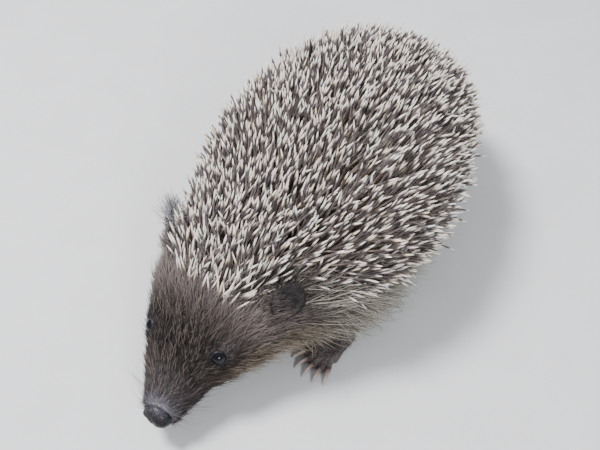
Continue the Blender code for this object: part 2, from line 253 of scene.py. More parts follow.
def keep_values(mesh, name, values):
    """Stores a number for each point of a mesh, or a colour where values has three columns."""
    if values.ndim == 1:
        mesh.attributes.new(name, "FLOAT", "POINT").data.foreach_set("value", values)
    else:
        rgba = np.column_stack([values, np.ones(len(values))])
        mesh.attributes.new(name, "FLOAT_COLOR", "POINT").data.foreach_set("color", rgba.ravel())


def finish_piece(obj, slot, *replaced):
    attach(obj, "root")
    if replaced:
        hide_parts(*replaced)
    return obj


# --- materials

class Nodes:
    """A short way to write a material's nodes. The values are set on its shader."""

    def __init__(self, name, **values):
        self.material = bpy.data.materials.new(name)
        self.material.use_nodes = True
        self.tree = self.material.node_tree
        self.shader = self.tree.nodes["Principled BSDF"]
        for key, value in values.items():
            self.shader.inputs[key.replace("_", " ")].default_value = value

    def add(self, kind, **settings):
        node = self.tree.nodes.new(kind)
        for key, value in settings.items():
            setattr(node, key, value)
        return node

    def feed(self, socket, value):
        """Puts a number, a colour or the output of another node into a socket."""
        if isinstance(value, (int, float)):
            socket.default_value = value
        elif isinstance(value, tuple):
            socket.default_value = (*value, 1.0)
        else:
            self.tree.links.new(value, socket)

    def attribute(self, name, output="Fac"):
        return self.add("ShaderNodeAttribute", attribute_name=name).outputs[output]

    def ramp(self, source, stops):
        """A colour ramp. Each stop is a place and a colour, or a shade of grey."""
        node = self.add("ShaderNodeValToRGB")
        elements = node.color_ramp.elements
        while len(elements) < len(stops):
            elements.new(0.5)
        for element, (place, colour) in zip(elements, stops):
            element.position = place
            element.color = (*(colour if isinstance(colour, tuple) else (colour,) * 3), 1.0)
        self.feed(node.inputs["Fac"], source)
        return node.outputs["Color"]

    def texture(self, kind, output, scale, **settings):
        """A texture over the object's own coordinates."""
        node = self.add(kind, **settings)
        node.inputs["Scale"].default_value = scale
        self.feed(node.inputs["Vector"], self.add("ShaderNodeTexCoord").outputs["Object"])
        return node.outputs[output]

    def noise(self, scale, detail=3.0):
        output = self.texture("ShaderNodeTexNoise", "Fac", scale)
        output.node.inputs["Detail"].default_value = detail
        return output

    def cells(self, scale, feature="F1"):
        return self.texture("ShaderNodeTexVoronoi", "Distance", scale, feature=feature)

    def mottle(self, scale, low, high, detail=3.0, edges=(0.3, 0.7)):
        """A noise that runs from one colour to another."""
        return self.ramp(self.noise(scale, detail), tuple(zip(edges, (low, high))))

    def math(self, operation, first, second=0.0):
        node = self.add("ShaderNodeMath", operation=operation)
        self.feed(node.inputs[0], first)
        self.feed(node.inputs[1], second)
        return node.outputs[0]

    def blend(self, kind, share, first, second):
        node = self.add("ShaderNodeMix", data_type="RGBA", blend_type=kind)
        for index, value in ((0, share), (6, first), (7, second)):
            self.feed(node.inputs[index], value)
        return node.outputs[2]

    def bump(self, height, strength, distance):
        node = self.add("ShaderNodeBump")
        for name, value in (("Strength", strength), ("Distance", distance), ("Height", height)):
            self.feed(node.inputs[name], value)
        self.feed(self.shader.inputs["Normal"], node.outputs["Normal"])

    def colour(self, source, *tints):
        """The base colour, multiplied by each of the tints."""
        for tint in tints:
            source = self.blend("MULTIPLY", 1.0, source, tint)
        self.feed(self.shader.inputs["Base Color"], source)


def spine_material():
    """Cream tip, dark brown band and grey-brown shaft, with a tone of its own for each spine."""
    nodes = Nodes("banded spines", Roughness=0.4, Specular_IOR_Level=0.3)
    tone = nodes.attribute("tone")
    uneven = nodes.math("MULTIPLY", nodes.math("SUBTRACT", tone, 0.5), 0.10)
    bands = nodes.ramp(nodes.math("ADD", nodes.attribute("along"), uneven), (
        (0.00, (0.21, 0.180, 0.170)), (0.30, (0.39, 0.345, 0.315)), (0.50, (0.37, 0.325, 0.30)),
        (0.60, (0.140, 0.120, 0.124)), (0.785, (0.092, 0.080, 0.090)), (0.83, (0.35, 0.305, 0.28)),
        (0.865, (0.88, 0.845, 0.80)), (0.95, (0.99, 0.98, 0.97)), (1.00, (0.80, 0.76, 0.71)),
    ))
    second_tone = nodes.math("FRACT", nodes.math("MULTIPLY", tone, 7.31))
    tint = nodes.ramp(second_tone, (
        (0.0, (0.56, 0.50, 0.44)), (0.22, (0.86, 0.80, 0.73)), (0.55, (1.0, 0.985, 0.965)),
        (0.88, (1.0, 0.95, 0.87)), (1.0, (0.96, 0.80, 0.60)),
    ))
    nodes.colour(bands, tint, nodes.mottle(900.0, (0.82, 0.80, 0.78), 1.0))
    nodes.bump(nodes.noise(2200.0), 0.15, 0.0001)
    return nodes.material


def hair_material(name, light=(0.33, 0.285, 0.235), tips=0.0, pale_from=0.78):
    """Hair with the marking of its root, darker at the root, partly its own darker base and partly painted
    shade deep in the coat. Some hairs are paler, and so may the tips be.
    """
    nodes = Nodes(name, Roughness=0.6, Specular_IOR_Level=0.18)
    along, tone = nodes.attribute("along"), nodes.attribute("tone")
    # Darker towards the root: partly the hair's own colour, partly painted shade deep in the coat.
    length = nodes.ramp(along, ((0.0, 0.17), (0.5, 0.40), (1.0, 0.52)))
    variety = nodes.ramp(tone, ((0.0, 0.40), (0.45, 0.80), (0.8, 1.0)))
    shaded = nodes.add("ShaderNodeVectorMath", operation="SCALE")
    nodes.feed(shaded.inputs[0], nodes.attribute("marking", "Color"))
    nodes.feed(shaded.inputs["Scale"], nodes.math("MULTIPLY", nodes.math("MULTIPLY", length, variety), 2.3))
    pale = nodes.ramp(tone, ((pale_from, 0.0), (pale_from + 0.16, 0.62)))
    shown = nodes.blend("MIX", pale, shaded.outputs[0], light)
    if tips:
        shown = nodes.blend("MIX", nodes.ramp(along, ((0.2, 0.0), (0.85, tips))), shown, light)
    nodes.colour(shown)
    return nodes.material


def skin_material():
    """Skin with the coat's markings and fine short fur as bump."""
    nodes = Nodes("skin with short fur", Roughness=0.65, Specular_IOR_Level=0.25)
    nodes.colour(nodes.attribute("marking", "Color"), nodes.mottle(260.0, (0.62, 0.60, 0.60), 1.0, 6.0))
    nodes.bump(nodes.math("ADD", nodes.noise(1500.0, 4.0), nodes.cells(900.0)), 0.85, 0.0005)
    return nodes.material


def nose_material():
    """Wet, pebbled and near-black, with a painted grey sheen on the parts that face up."""
    nodes = Nodes("wet nose", Roughness=0.42, Specular_IOR_Level=0.14, Coat_Weight=0.16, Coat_Roughness=0.14)
    facing = nodes.add("ShaderNodeSeparateXYZ")
    nodes.feed(facing.inputs[0], nodes.add("ShaderNodeNewGeometry").outputs["Normal"])
    # Painted sheen: the pad turns grey where its surface faces up and stays near-black on the sides and
    # below.
    grey = nodes.ramp(facing.outputs["Z"], ((0.45, (0.006, 0.005, 0.006)), (1.0, (0.060, 0.054, 0.067))))
    nodes.colour(grey, nodes.mottle(1400.0, 0.35, 1.0, 2.0, (0.36, 0.64)))
    nodes.bump(nodes.cells(1700.0, "SMOOTH_F1"), 0.8, 0.0004)
    return nodes.material


def eye_material():
    """A wet black bead."""
    nodes = Nodes("eye", Roughness=0.045, Specular_IOR_Level=0.26)
    nodes.colour(nodes.mottle(700.0, (0.001, 0.001, 0.003), (0.005, 0.004, 0.005), edges=(0.35, 0.75)))
    return nodes.material


def lid_material():
    nodes = Nodes("eyelid", Roughness=0.5, Specular_IOR_Level=0.18)
    nodes.colour(nodes.mottle(900.0, (0.009, 0.008, 0.010), (0.027, 0.026, 0.033)))
    nodes.bump(nodes.noise(2400.0), 0.4, 0.0002)
    return nodes.material


def ear_material():
    """Dark grey skin."""
    nodes = Nodes("ear skin", Roughness=0.65, Specular_IOR_Level=0.2)
    nodes.colour(nodes.mottle(420.0, (0.018, 0.016, 0.015), (0.046, 0.041, 0.040), 5.0))
    nodes.bump(nodes.noise(1500.0, 4.0), 0.5, 0.0003)
    return nodes.material


def claw_material():
    """Pale horn, darker at the root."""
    nodes = Nodes("claw horn", Roughness=0.34)
    horn = nodes.ramp(nodes.attribute("along"), (
        (0.0, (0.13, 0.08, 0.07)), (0.5, (0.33, 0.25, 0.21)), (1.0, (0.55, 0.47, 0.40)),
    ))
    nodes.colour(horn, nodes.mottle(1200.0, (0.78, 0.76, 0.74), 1.0))
    nodes.bump(nodes.noise(1800.0), 0.2, 0.0001)
    return nodes.material


# --- the flesh as one closed mesh

VOXEL = 0.62 * MM
OVERLAP = 0.25 * MM  # how far the flesh nodes are grown so that the cuts between them close
# Each toe back from its claw's root: distance along the toe, height of its middle and radius, in mm.
TOE_PATH = (
    (-10.5, 3.4, 2.0), (-7.0, 4.0, 1.95), (-4.6, 3.7, 1.6), (-2.4, 2.9, 1.45), (-0.4, 2.4, 1.8),
    (1.6, 2.15, 1.4),
)
TOE_CUT = 8.0 * MM  # how far behind the middle claw's root the palm of the CAD paw is cut
TOE_SIDES = 14
TOE_STEPS = 4  # rings for each point of the path
TOE_TIP_FROM = 0.9  # the share of a toe at which it begins to round off
TOE_TIP = 0.1  # the share that is rounded off


def claw_line(leg, number):
    """Root, tip and root radius of a claw's solid. The tip is the end that is farther from its paw."""
    shape = node_shape(f"claw_{leg}_{number}")
    places = [v.co.copy() for v in shape.verts]
    shape.free()
    paw = node_middle("paw_" + leg)
    tip = max(places, key=lambda place: (place.xy - paw.xy).length)
    ring = sorted(places, key=lambda place: (place - tip).length)[-5:]
    root = sum(ring, Vector()) / len(ring)
    return root, tip, max((place - root).length for place in ring)


def toe_line(leg, number):
    """The root of a claw and the level way that its toe points."""
    root, tip, _ = claw_line(leg, number)
    return root, Vector((*(tip - root).xy, 0)).normalized()


def add_toe(whole, root, ahead):
    """A jointed toe as a closed tube whose end carries the claw."""
    along, heights, radii = np.array(TOE_PATH).T * MM
    side = ahead.cross(UP).normalized()
    corners = []
    for place in np.linspace(along[0], along[-1], TOE_STEPS * len(along)):
        height, radius = np.interp(place, along, heights), np.interp(place, along, radii)
        share = (place - along[0]) / (along[-1] - along[0])
        radius *= math.sqrt(max(1 - max(share - TOE_TIP_FROM, 0) / TOE_TIP, 0.15))
        middle = Vector((root.x, root.y, 0)) + ahead * place + Vector((0, 0, height))
        corners += [whole.verts.new(point) for point in ring_of(middle, side, UP, radius, TOE_SIDES)]
    for face in tube_faces(len(corners) // TOE_SIDES, TOE_SIDES):
        whole.faces.new([corners[k] for k in face])
    whole.faces.new(corners[:TOE_SIDES][::-1])
    whole.faces.new(corners[-TOE_SIDES:])


def palm_shape(leg):
    """The paw's solid without its front, where the scene's toes take its place."""
    shape = node_shape("paw_" + leg)
    root, ahead = toe_line(leg, 3)
    parts = shape.verts[:] + shape.edges[:] + shape.faces[:]
    cut = bmesh.ops.bisect_plane(
        shape, geom=parts, plane_co=root - ahead * TOE_CUT, plane_no=ahead, clear_outer=True)
    edges = [part for part in cut["geom_cut"] if isinstance(part, bmesh.types.BMEdge)]
    bmesh.ops.holes_fill(shape, edges=edges)
    return shape


def union_of_flesh():
    """One closed mesh of the flesh nodes, with toes, and with the eye sockets filled."""
    whole = bmesh.new()
    shapes = [node_shape(name) for name in BODY_NODES + LEG_NODES + ("tail", "eye_left", "eye_right")]
    shapes += [palm_shape(leg) for leg in LEGS]
    for shape in shapes:
        places = {v: v.co + v.normal * OVERLAP for v in shape.verts}
        for vertex, place in places.items():
            vertex.co = place
        mesh = bpy.data.meshes.new("part")
        shape.to_mesh(mesh)
        shape.free()
        whole.from_mesh(mesh)
        bpy.data.meshes.remove(mesh)
    for leg, number in CLAWS:
        add_toe(whole, *toe_line(leg, number))
    bmesh.ops.recalc_face_normals(whole, faces=whole.faces)
    mesh = bpy.data.meshes.new("flesh")
    whole.to_mesh(mesh)
    whole.free()
    return with_modifier(mesh, "REMESH", "skin", mode="VOXEL", voxel_size=VOXEL)


# --- surfaces that carry hair

EVENNESS = 0.78  # least gap of evenly scattered places, as a share of their spacing
OVERSAMPLING = 3.0  # how many places are tried for each evenly scattered one


class Surface:
    """Points, normals and triangles of a mesh, with fields that are known at its points."""

    def __init__(self, mesh):
        self.mesh = mesh
        self.fields = {}
        self.read()
        edges = np.empty(len(mesh.edges) * 2, int)
        mesh.edges.foreach_get("vertices", edges)
        self.edges = edges.reshape(-1, 2)
        self.degree = np.bincount(self.edges.ravel(), minlength=len(self.points)).astype(float)

    def read(self):
        count = len(self.mesh.vertices)
        places, normals = np.empty(count * 3), np.empty(count * 3)
        self.mesh.vertices.foreach_get("co", places)
        self.mesh.vertex_normals.foreach_get("vector", normals)
        self.points, self.normals = places.reshape(-1, 3), normals.reshape(-1, 3)
        self.mesh.calc_loop_triangles()
        corners = np.empty(len(self.mesh.loop_triangles) * 3, int)
        self.mesh.loop_triangles.foreach_get("vertices", corners)
        self.triangles = corners.reshape(-1, 3)

    def write(self, points):
        self.mesh.vertices.foreach_set("co", points.ravel())
        self.mesh.update()
        self.read()

    def smooth(self, values, rounds):
        """Averages values over neighbouring points."""
        values = np.array(values, float)
        flat = values.reshape(len(values), -1)
        starts, ends = self.edges.T
        for _ in range(rounds):
            total = np.zeros_like(flat)
            for column in range(flat.shape[1]):
                total[:, column] = np.bincount(starts, flat[ends, column], len(flat))
                total[:, column] += np.bincount(ends, flat[starts, column], len(flat))
            flat = 0.5 * flat + 0.5 * total / np.maximum(self.degree, 1)[:, None]
        return flat.reshape(values.shape)

    def relaid(self, lie):
        """The same surface with another lie of the coat."""
        other = copy.copy(self)
        other.fields = dict(self.fields, lie=lie)
        return other

    def scatter(self, weight, spacing, rng, even=False):
        """Random places on the surface, about one spacing apart where weight is 1, with every field there."""
        corners = self.points[self.triangles]
        sides = np.cross(corners[:, 1] - corners[:, 0], corners[:, 2] - corners[:, 0])
        areas = np.linalg.norm(sides, axis=1) / 2
        worth = areas * weight[self.triangles].mean(axis=1)
        count = int(worth.sum() / spacing**2 * (OVERSAMPLING if even else 1.0))
        chosen = rng.choice(len(areas), count, p=worth / worth.sum())
        first, second = rng.random(count), rng.random(count)
        flip = first + second > 1
        first[flip], second[flip] = 1 - first[flip], 1 - second[flip]
        shares = np.stack([1 - first - second, first, second], 1)
        trio = self.triangles[chosen]
        found = {"point": (self.points[trio] * shares[..., None]).sum(1)}
        found["normal"] = unit((self.normals[trio] * shares[..., None]).sum(1))
        for name, field in self.fields.items():
            wide = shares.reshape(count, 3, *([1] * (field.ndim - 1)))
            found[name] = (field[trio] * wide).sum(1)
        if even:
            worth_here = (weight[trio] * shares).sum(1)
            kept = spaced_out(found["point"], EVENNESS * spacing / np.sqrt(np.maximum(worth_here, 0.1)))
            found = {name: values[kept] for name, values in found.items()}
        return found


def spaced_out(points, gaps):
    """Indices of points of which none is closer than its gap to one before it."""
    size = gaps.max()
    cells, kept = {}, []
    steps = [(i, j, k) for i in (-1, 0, 1) for j in (-1, 0, 1) for k in (-1, 0, 1)]
    for index, (x, y, z) in enumerate(points):
        cell = (int(x // size), int(y // size), int(z // size))
        near = any(
            (ox - x) ** 2 + (oy - y) ** 2 + (oz - z) ** 2 < gaps[index] ** 2
            for i, j, k in steps
            for ox, oy, oz in cells.get((cell[0] + i, cell[1] + j, cell[2] + k), ())
        )
        if not near:
            cells.setdefault(cell, []).append((x, y, z))
            kept.append(index)
    return np.array(kept, int)


# --- the skin

UNION_SMOOTHING = 16
PAW_SMOOTHING = 3
SKIN_SMOOTHING = 9
FIELD_SMOOTHING = 50
SKIN_SHARE = 0.42  # share of the triangles that the finished skin keeps
MANTLE_REACH = 30.0 * MM  # more than the greatest height of the mantle over the skin
MUZZLE_SWELL = 2.1 * MM
MUZZLE_REACH = 9.5 * MM
EYE_PARTING = 6.5 * MM  # how far from an eye the hair turns away from it


def mantle_depth(points, normals):
    """How far the spine tips stand over each point, or 0 outside the mantle."""
    tree, _ = node_tree("mantle")
    depths = np.zeros(len(points))
    for index, (place, normal) in enumerate(zip(points, normals)):
        start = Vector(place) + Vector(normal) * MANTLE_REACH
        hit, _, _, distance = tree.ray_cast(start, -Vector(normal), MANTLE_REACH + 4 * MM)
        if hit is not None:
            depths[index] = max(MANTLE_REACH - distance, 0.0)
    return depths


def coat_depth(surface, owners, spined):
    """How deep the skin lies inside the solids. The coat is thinnest at the eyes, and the muzzle swells."""
    depth = np.array([COAT_DEPTH[name] for name in owners])
    depth = depth * (1 - spined) + DEPTH_UNDER_SPINES * spined
    depth = surface.smooth(depth, FIELD_SMOOTHING) * MM
    depth *= 0.25 + 0.75 * ramp(least_gap(surface.points, EYES), 5 * MM, 13 * MM)
    return depth - MUZZLE_SWELL * bell(gap_to(surface.points, NOSE), MUZZLE_REACH)


def flow_field(points, owners):
    """The lie of the coat: back from the nose, along the body, down the skirt and the legs."""
    from_nose = unit(points - np.array(NOSE))
    below_rim = 1 - ramp(points[:, 2], 30 * MM, 52 * MM)
    along_body = unit(np.stack([np.zeros(len(points)), np.ones(len(points)), -0.18 - 0.32 * below_rim], 1))
    lie = mix(from_nose, along_body, ramp(points[:, 1], EAR_LINE.y - 12 * MM, EAR_LINE.y + 16 * MM))
    for eye in EYES.values():
        lie = lie + 1.1 * unit(points - np.array(eye)) * bell(gap_to(points, eye), EYE_PARTING)[:, None]
    lie[np.isin(owners, LEG_NODES)] = (0.0, 0.35, -1.0)
    lie[np.isin(owners, PAW_NODES)] = (0.0, -1.0, -0.25)
    lie[owners == "tail"] = (0.0, 0.8, -0.5)
    return lie


def markings(points, normals, owners, spined):
    """The colours of skin and coat, from the places of the parts."""
    head, height = head_share(points), points[:, 2]
    rim = (1 - ramp(gap_to(points, NOSE), 5.8 * MM, 9.8 * MM)) * ramp(normals[:, 2], -0.1, 0.5)
    mask = ramp(head, 0.16, 0.34) * (1 - ramp(head, 0.38, 0.66))
    mask = mask * (1 - ramp(aside_of(points), 6 * MM, 16 * MM))
    low_cheek = 1 - ramp(height, (20 + 12 * ramp(head, 0.3, 1.0)) * MM, 34 * MM)
    behind_ears = ramp(points[:, 1], EAR_LINE.y - 4 * MM, EAR_LINE.y + 20 * MM)
    colour = mix(MUZZLE_GREY, FACE, ramp(head, 0.08, 0.34))
    colour = mix(colour, NOSE_RIM_GREY, 0.75 * rim)
    colour = mix(colour, FACE_DARK, 0.75 * mask)
    for eye in EYES.values():
        colour = mix(colour, FACE_DARK, 0.85 * (1 - ramp(gap_to(points, eye), 5 * MM, 11 * MM)))
    colour = mix(colour, CROWN, ramp(head, 0.46, 0.76))
    for ear in EARS.values():
        colour = mix(colour, EAR_DARK, 0.8 * (1 - ramp(gap_to(points, ear), 6.5 * MM, 10.5 * MM)))
    colour = mix(colour, CHEEK_TAN, 0.8 * low_cheek * ramp(head, 0.28, 0.7))
    colour = mix(colour, mix(BELLY, SKIRT, ramp(height, 12 * MM, 26 * MM)), behind_ears)
    # The skin under the mantle, darkened partly as painted shade in the gaps between the spines.
    colour = mix(colour, SKIN_AND_SHADE_UNDER_SPINES, spined)
    colour[np.isin(owners, LEG_NODES + ("tail",))] = LIMB
    colour[np.isin(owners, PAW_NODES)] = PAW_SKIN
    return colour


def make_skin():
    """The one skin under the coat, with its fields for the lie, the depth and the markings of the coat."""
    surface = Surface(union_of_flesh())
    tree, face_owners = node_tree(*FLESH_NODES)
    owners = np.array([face_owners[tree.find_nearest(Vector(place))[2]] for place in surface.points])
    paws = surface.smooth(np.isin(owners, PAW_NODES).astype(float), 2)[:, None]
    even = surface.smooth(surface.points, UNION_SMOOTHING)
    detailed = surface.smooth(surface.points, PAW_SMOOTHING)
    surface.write(even * (1 - paws) + detailed * paws)
    tips = mantle_depth(surface.points, surface.normals)
    spined = surface.smooth((tips > 0).astype(float), 4)
    depth = coat_depth(surface, owners, spined)
    surface.write(surface.points - surface.normals * depth[:, None])
    even = surface.smooth(surface.points, SKIN_SMOOTHING)
    surface.write(even * (1 - paws) + surface.points * paws)
    carve_face(surface)
    surface.fields = {
        "lie": surface.smooth(flow_field(surface.points, owners), FIELD_SMOOTHING),
        "depth": surface.smooth(tips + depth, 6),
        "spined": spined,
        "quilled": quilled(surface, tips > 0),
        "marking": surface.smooth(markings(surface.points, surface.normals, owners, spined), 5),
    }
    for name, nodes in (("limb", LEG_NODES), ("paw", PAW_NODES), ("tail", ("tail",))):
        surface.fields[name] = surface.smooth(np.isin(owners, nodes).astype(float), 3)
    keep_values(surface.mesh, "marking", surface.fields["marking"])
    surface.mesh.materials.clear()
    surface.mesh.materials.append(skin_material())
    shown = with_modifier(surface.mesh.copy(), "DECIMATE", "skin_shown", ratio=SKIN_SHARE)
    shown.shade_smooth()
    finish_piece(link(bpy.data.objects.new("skin", shown)), "fur", *FLESH_NODES, "mantle")
    return surface


FOREHEAD_SPINES = 7.0 * MM  # how far in front of the mantle's edge the first spines are rooted
BARE_AHEAD = 8.5 * MM  # how far in front of an ear's middle the spines stop
BARE_BEHIND = (4.5 * MM, 6.5 * MM)  # where they start behind an ear's middle
BROW_REACH = 20.0 * MM  # how far in front of the ears the spines start on the brow
BROW_CORNER = 10.5 * MM  # half the width of the straight part of the brow
BROW_SLOPE = 1.25  # how fast the first spines fall back from the corners to the ears
BROW_FALL = 24.0 * MM  # the most that they fall back


def quilled(surface, covered):
    """Where spines are rooted: under the mantle, and a little in front of it on the forehead."""
    points = surface.points
    tree = tree_of(points[covered])
    inside = covered.astype(float)
    front = ~covered & (points[:, 1] < EAR_LINE.y) & (surface.normals[:, 2] > 0.45)
    for index in np.nonzero(front)[0]:
        inside[index] = 1.0 - ramp(tree.find(points[index])[2], FOREHEAD_SPINES * 0.8, FOREHEAD_SPINES)
    for centre in EARS.values():
        gap = gap_to(points, centre)
        ahead = ramp(gap, BARE_AHEAD, BARE_AHEAD + 3 * MM)
        behind = ramp(gap, *BARE_BEHIND)
        inside *= surface.smooth(np.where(points[:, 1] < centre.y - 2 * MM, ahead, behind), 6)
    fall = np.minimum(BROW_SLOPE * np.maximum(aside_of(points) - BROW_CORNER, 0.0), BROW_FALL)
    behind_brow = points[:, 1] - (EAR_LINE.y - BROW_REACH + fall)
    return surface.smooth(inside * ramp(behind_brow, -0.8 * MM, 0.8 * MM), 2)


EYE_RADIUS = 3.5 * MM
EYE_LEVEL = 1.95 * MM  # height of the skin over the eyeball's centre
ORBIT = 9.0 * MM  # how far round the eye the skin is brought to that height
LID_OPENING = 2.65 * MM
SOCKET_GAP = 0.5 * MM  # how far the socket lies inside the eyeball, and reaches past the lids' opening
MOUTH_GROOVE = 0.5 * MM
MOUTH_WIDTH = 0.55 * MM
EYE_AXES = {}


def seat_eye(points, normals, side):
    """Brings the skin to an eye and sinks its socket, and keeps the way that the eye looks."""
    eye = np.array(EYES[side])
    offset, distance = points - eye, gap_to(points, eye)
    axis = unit(normals[distance < 8 * MM].mean(0))
    EYE_AXES[side] = Vector(axis)
    height = offset @ axis
    radial = np.linalg.norm(offset - height[:, None] * axis, axis=1)
    ring = (radial > 3.6 * MM) & (radial < 5.5 * MM) & (height > 0) & (distance < 9 * MM)
    front = (height > -2 * MM) & (distance < 20 * MM)
    lift = (EYE_LEVEL - height[ring].mean()) * bell(radial, ORBIT) * front
    points += lift[:, None] * axis
    height = (points - eye) @ axis
    hollow = (radial < LID_OPENING + SOCKET_GAP) & (height > 0)
    floor_height = np.sqrt(np.maximum((EYE_RADIUS - SOCKET_GAP) ** 2 - radial**2, (0.8 * MM) ** 2))
    points += np.where(hollow, floor_height - height, 0.0)[:, None] * axis


def carve_face(surface):
    """Seats the eyes in the skin and presses in the line of the mouth."""
    points = surface.points.copy()
    for side in SIDES:
        seat_eye(points, surface.normals, side)
    low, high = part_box("lower_jaw")
    mouth = np.interp(points[:, 1], (low[1], high[1]), (high[2] - 3.8 * MM, high[2] - 0.2 * MM))
    closeness = bell(points[:, 2] - mouth, MOUTH_WIDTH)
    closeness *= 1 - ramp(points[:, 1], high[1] - 2 * MM, high[1] + 3 * MM)
    points -= surface.normals * (MOUTH_GROOVE * closeness)[:, None]
    surface.write(points)


# --- strands

PATCH = 0.003  # size of each strand's patch in the unwrap
LEG_HEIGHT = 40.0 * MM  # the height of skin that the strip for the legs in the unwrap covers


def unwrap(found):
    """Places on an unwrap of the skin: the body round its centreline, and the legs on a strip below it."""
    points = found["point"]
    trunk = node_middle("trunk")
    middle = [NOSE] + [node_middle(name) for name in ("muzzle", "head", "neck")]
    middle = np.array(middle + [Vector((trunk.x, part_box("trunk")[1][1], trunk.z))])
    x = points[:, 0] - np.interp(points[:, 1], middle[:, 1], middle[:, 0])
    z = points[:, 2] - np.interp(points[:, 1], middle[:, 1], middle[:, 2])
    low, high = CAD_BOX[0][1], CAD_BOX[1][1]
    around = 0.5 + np.arctan2(x, z) / (2 * math.pi)
    body = np.stack([0.02 + 0.96 * around, 0.24 + 0.74 * (points[:, 1] - low) / (high - low)], 1)
    feet = np.array([node_middle(name) for name in PAW_NODES])
    nearest = np.linalg.norm(points[:, None, :2] - feet[None, :, :2], axis=2).argmin(1)
    spoke = points - feet[nearest]
    angle = 0.5 + np.arctan2(spoke[:, 0], spoke[:, 1]) / (2 * math.pi)
    rise = np.clip(points[:, 2] / LEG_HEIGHT, 0, 1)
    leg = np.stack([0.25 * nearest + 0.02 + 0.21 * angle, 0.02 + 0.19 * rise], 1)
    on_leg = (found["limb"] + found["paw"]) > 0.5
    return np.where(on_leg[:, None], leg, body)


def strands(name, found, spine, radii, shares, sides, material, flat=1.0):
    """Joined closed tapering strands, each with a patch of the unwrap at its root's place.

    spine holds each strand's points from root to tip, radii all but the tip's, and shares the places of those
    along the strand. flat is the height of a strand's section as a share of its width.
    """
    count, rows = radii.shape
    ahead = unit(spine[:, 1] - spine[:, 0])
    across = unit(np.cross(ahead, found["normal"]))
    up = np.cross(across, ahead)
    angles = 2 * math.pi * np.arange(sides) / sides
    cosines, sines = np.cos(angles)[None, :, None], np.sin(angles)[None, :, None]
    spokes = cosines * across[:, None] + flat * sines * up[:, None]
    rings = spine[:, :rows, None, :] + radii[:, :, None, None] * spokes[:, None]
    vertices = np.concatenate([rings.reshape(count, rows * sides, 3), spine[:, rows:rows + 1]], 1)

    per = rows * sides + 1
    around = np.arange(sides)
    last = (rows - 1) * sides
    quads = np.array(tube_faces(rows, sides))
    fan = np.stack([last + around, last + (around + 1) % sides, np.full(sides, rows * sides)], 1)
    corners = np.concatenate([quads.ravel(), fan.ravel(), around[::-1]])
    totals = [4] * len(quads) + [3] * sides + [sides]
    firsts = np.cumsum([0] + totals[:-1])
    number = np.arange(count)[:, None]
    mesh = bpy.data.meshes.new(name)
    mesh.vertices.add(count * per)
    mesh.vertices.foreach_set("co", vertices.ravel())
    mesh.loops.add(count * len(corners))
    mesh.loops.foreach_set("vertex_index", (corners + per * number).ravel())
    mesh.polygons.add(count * len(totals))
    mesh.polygons.foreach_set("loop_start", (firsts + len(corners) * number).ravel())
    mesh.update(calc_edges=True)

    length_share = np.append(np.repeat(shares, sides), 1.0)
    reach = found.get("reach", np.ones(count))
    keep_values(mesh, "along", (1 - (1 - length_share) * reach[:, None]).ravel())
    keep_values(mesh, "tone", np.repeat(found["tone"], per))
    keep_values(mesh, "marking", np.repeat(found["marking"], per, axis=0))
    quad_turn = quads[:, :1] % sides + np.array([0, 1, 1, 0])
    fan_turn = np.stack([around, around + 1, around + 0.5], 1)
    turn = np.concatenate([quad_turn.ravel(), fan_turn.ravel(), around[::-1]])
    patch = np.stack([turn / sides - 0.5, length_share[corners] - 0.5], 1) * PATCH
    mesh.uv_layers.new(name="OFBake").data.foreach_set("uv", (unwrap(found)[:, None] + patch).ravel())
    mesh.materials.append(material)
    mesh.shade_smooth()
    return link(bpy.data.objects.new(name, mesh))


LIE_WAVE = np.array([410.0, 230.0, 330.0])  # turns of the lie over the skin, in radians for each metre


def headings(found, rng, spread, tilt):
    """Directions that leave the skin at the angle tilt and lie along the coat, with a random spread."""
    normal = found["normal"]
    lie = unit(found["lie"] - normal * (found["lie"] * normal).sum(1, keepdims=True))
    side = np.cross(normal, lie)
    swing = rng.normal(0.0, spread, len(normal))
    swing = (swing + 0.5 * spread * np.sin(found["point"] @ LIE_WAVE))[:, None]
    level = lie * np.cos(swing) + side * np.sin(swing)
    return level * np.cos(tilt)[:, None] + normal * np.sin(tilt)[:, None]


def bent_lines(root, ahead, bend, lengths, shares):
    """Points along strands that head ahead from their roots and bend more and more."""
    lines = root[:, None] + ahead[:, None] * (lengths[:, None] * shares)[..., None]
    return lines + bend[:, None] * (lengths[:, None] * shares**2)[..., None]


EYE_CLEARANCE = 3.6 * MM
LEAST_LENGTH = 0.35  # the least share of its length that a strand keeps
CLEARANCE_TESTS = np.linspace(1.0, 0.1, 12)


def clear_lengths(root, ahead, bend, lengths):
    """Shares of the lengths at which strands stop short of the ears and the eyes."""
    blocks = []
    for side, centre in EARS.items():
        turn = ear_turn(side)
        blocks.append((centre + turn @ Vector((0, EAR_SEAT, 0)), turn, (EAR_WIDE, EAR_DEEP, EAR_TALL)))
    blocks += [(centre, Matrix.Identity(3), (EYE_CLEARANCE,) * 3) for centre in EYES.values()]
    lines = bent_lines(root, ahead, bend, lengths, CLEARANCE_TESTS)
    shares = np.full(len(root), 1.0)
    for centre, turn, radii in blocks:
        def depth(places):
            return (((places - np.array(centre)) @ np.array(turn) / np.array(radii)) ** 2).sum(-1)

        free = np.full(len(root), 1.0)
        for test, inside in zip(CLEARANCE_TESTS, (depth(lines) < 1).T):
            free = np.where(inside, test * 0.92, free)
        shares = np.minimum(shares, np.where(depth(root) < 0.7, 0.5, free))
    return np.maximum(shares, LEAST_LENGTH)


# --- spines

SPINE_SPACING = 2.0 * MM
SPINE_LENGTH = 21.0 * MM
SHORT_SPINE = 12.5 * MM
SPINE_RADIUS = 0.50 * MM
SPINE_SIDES = 5
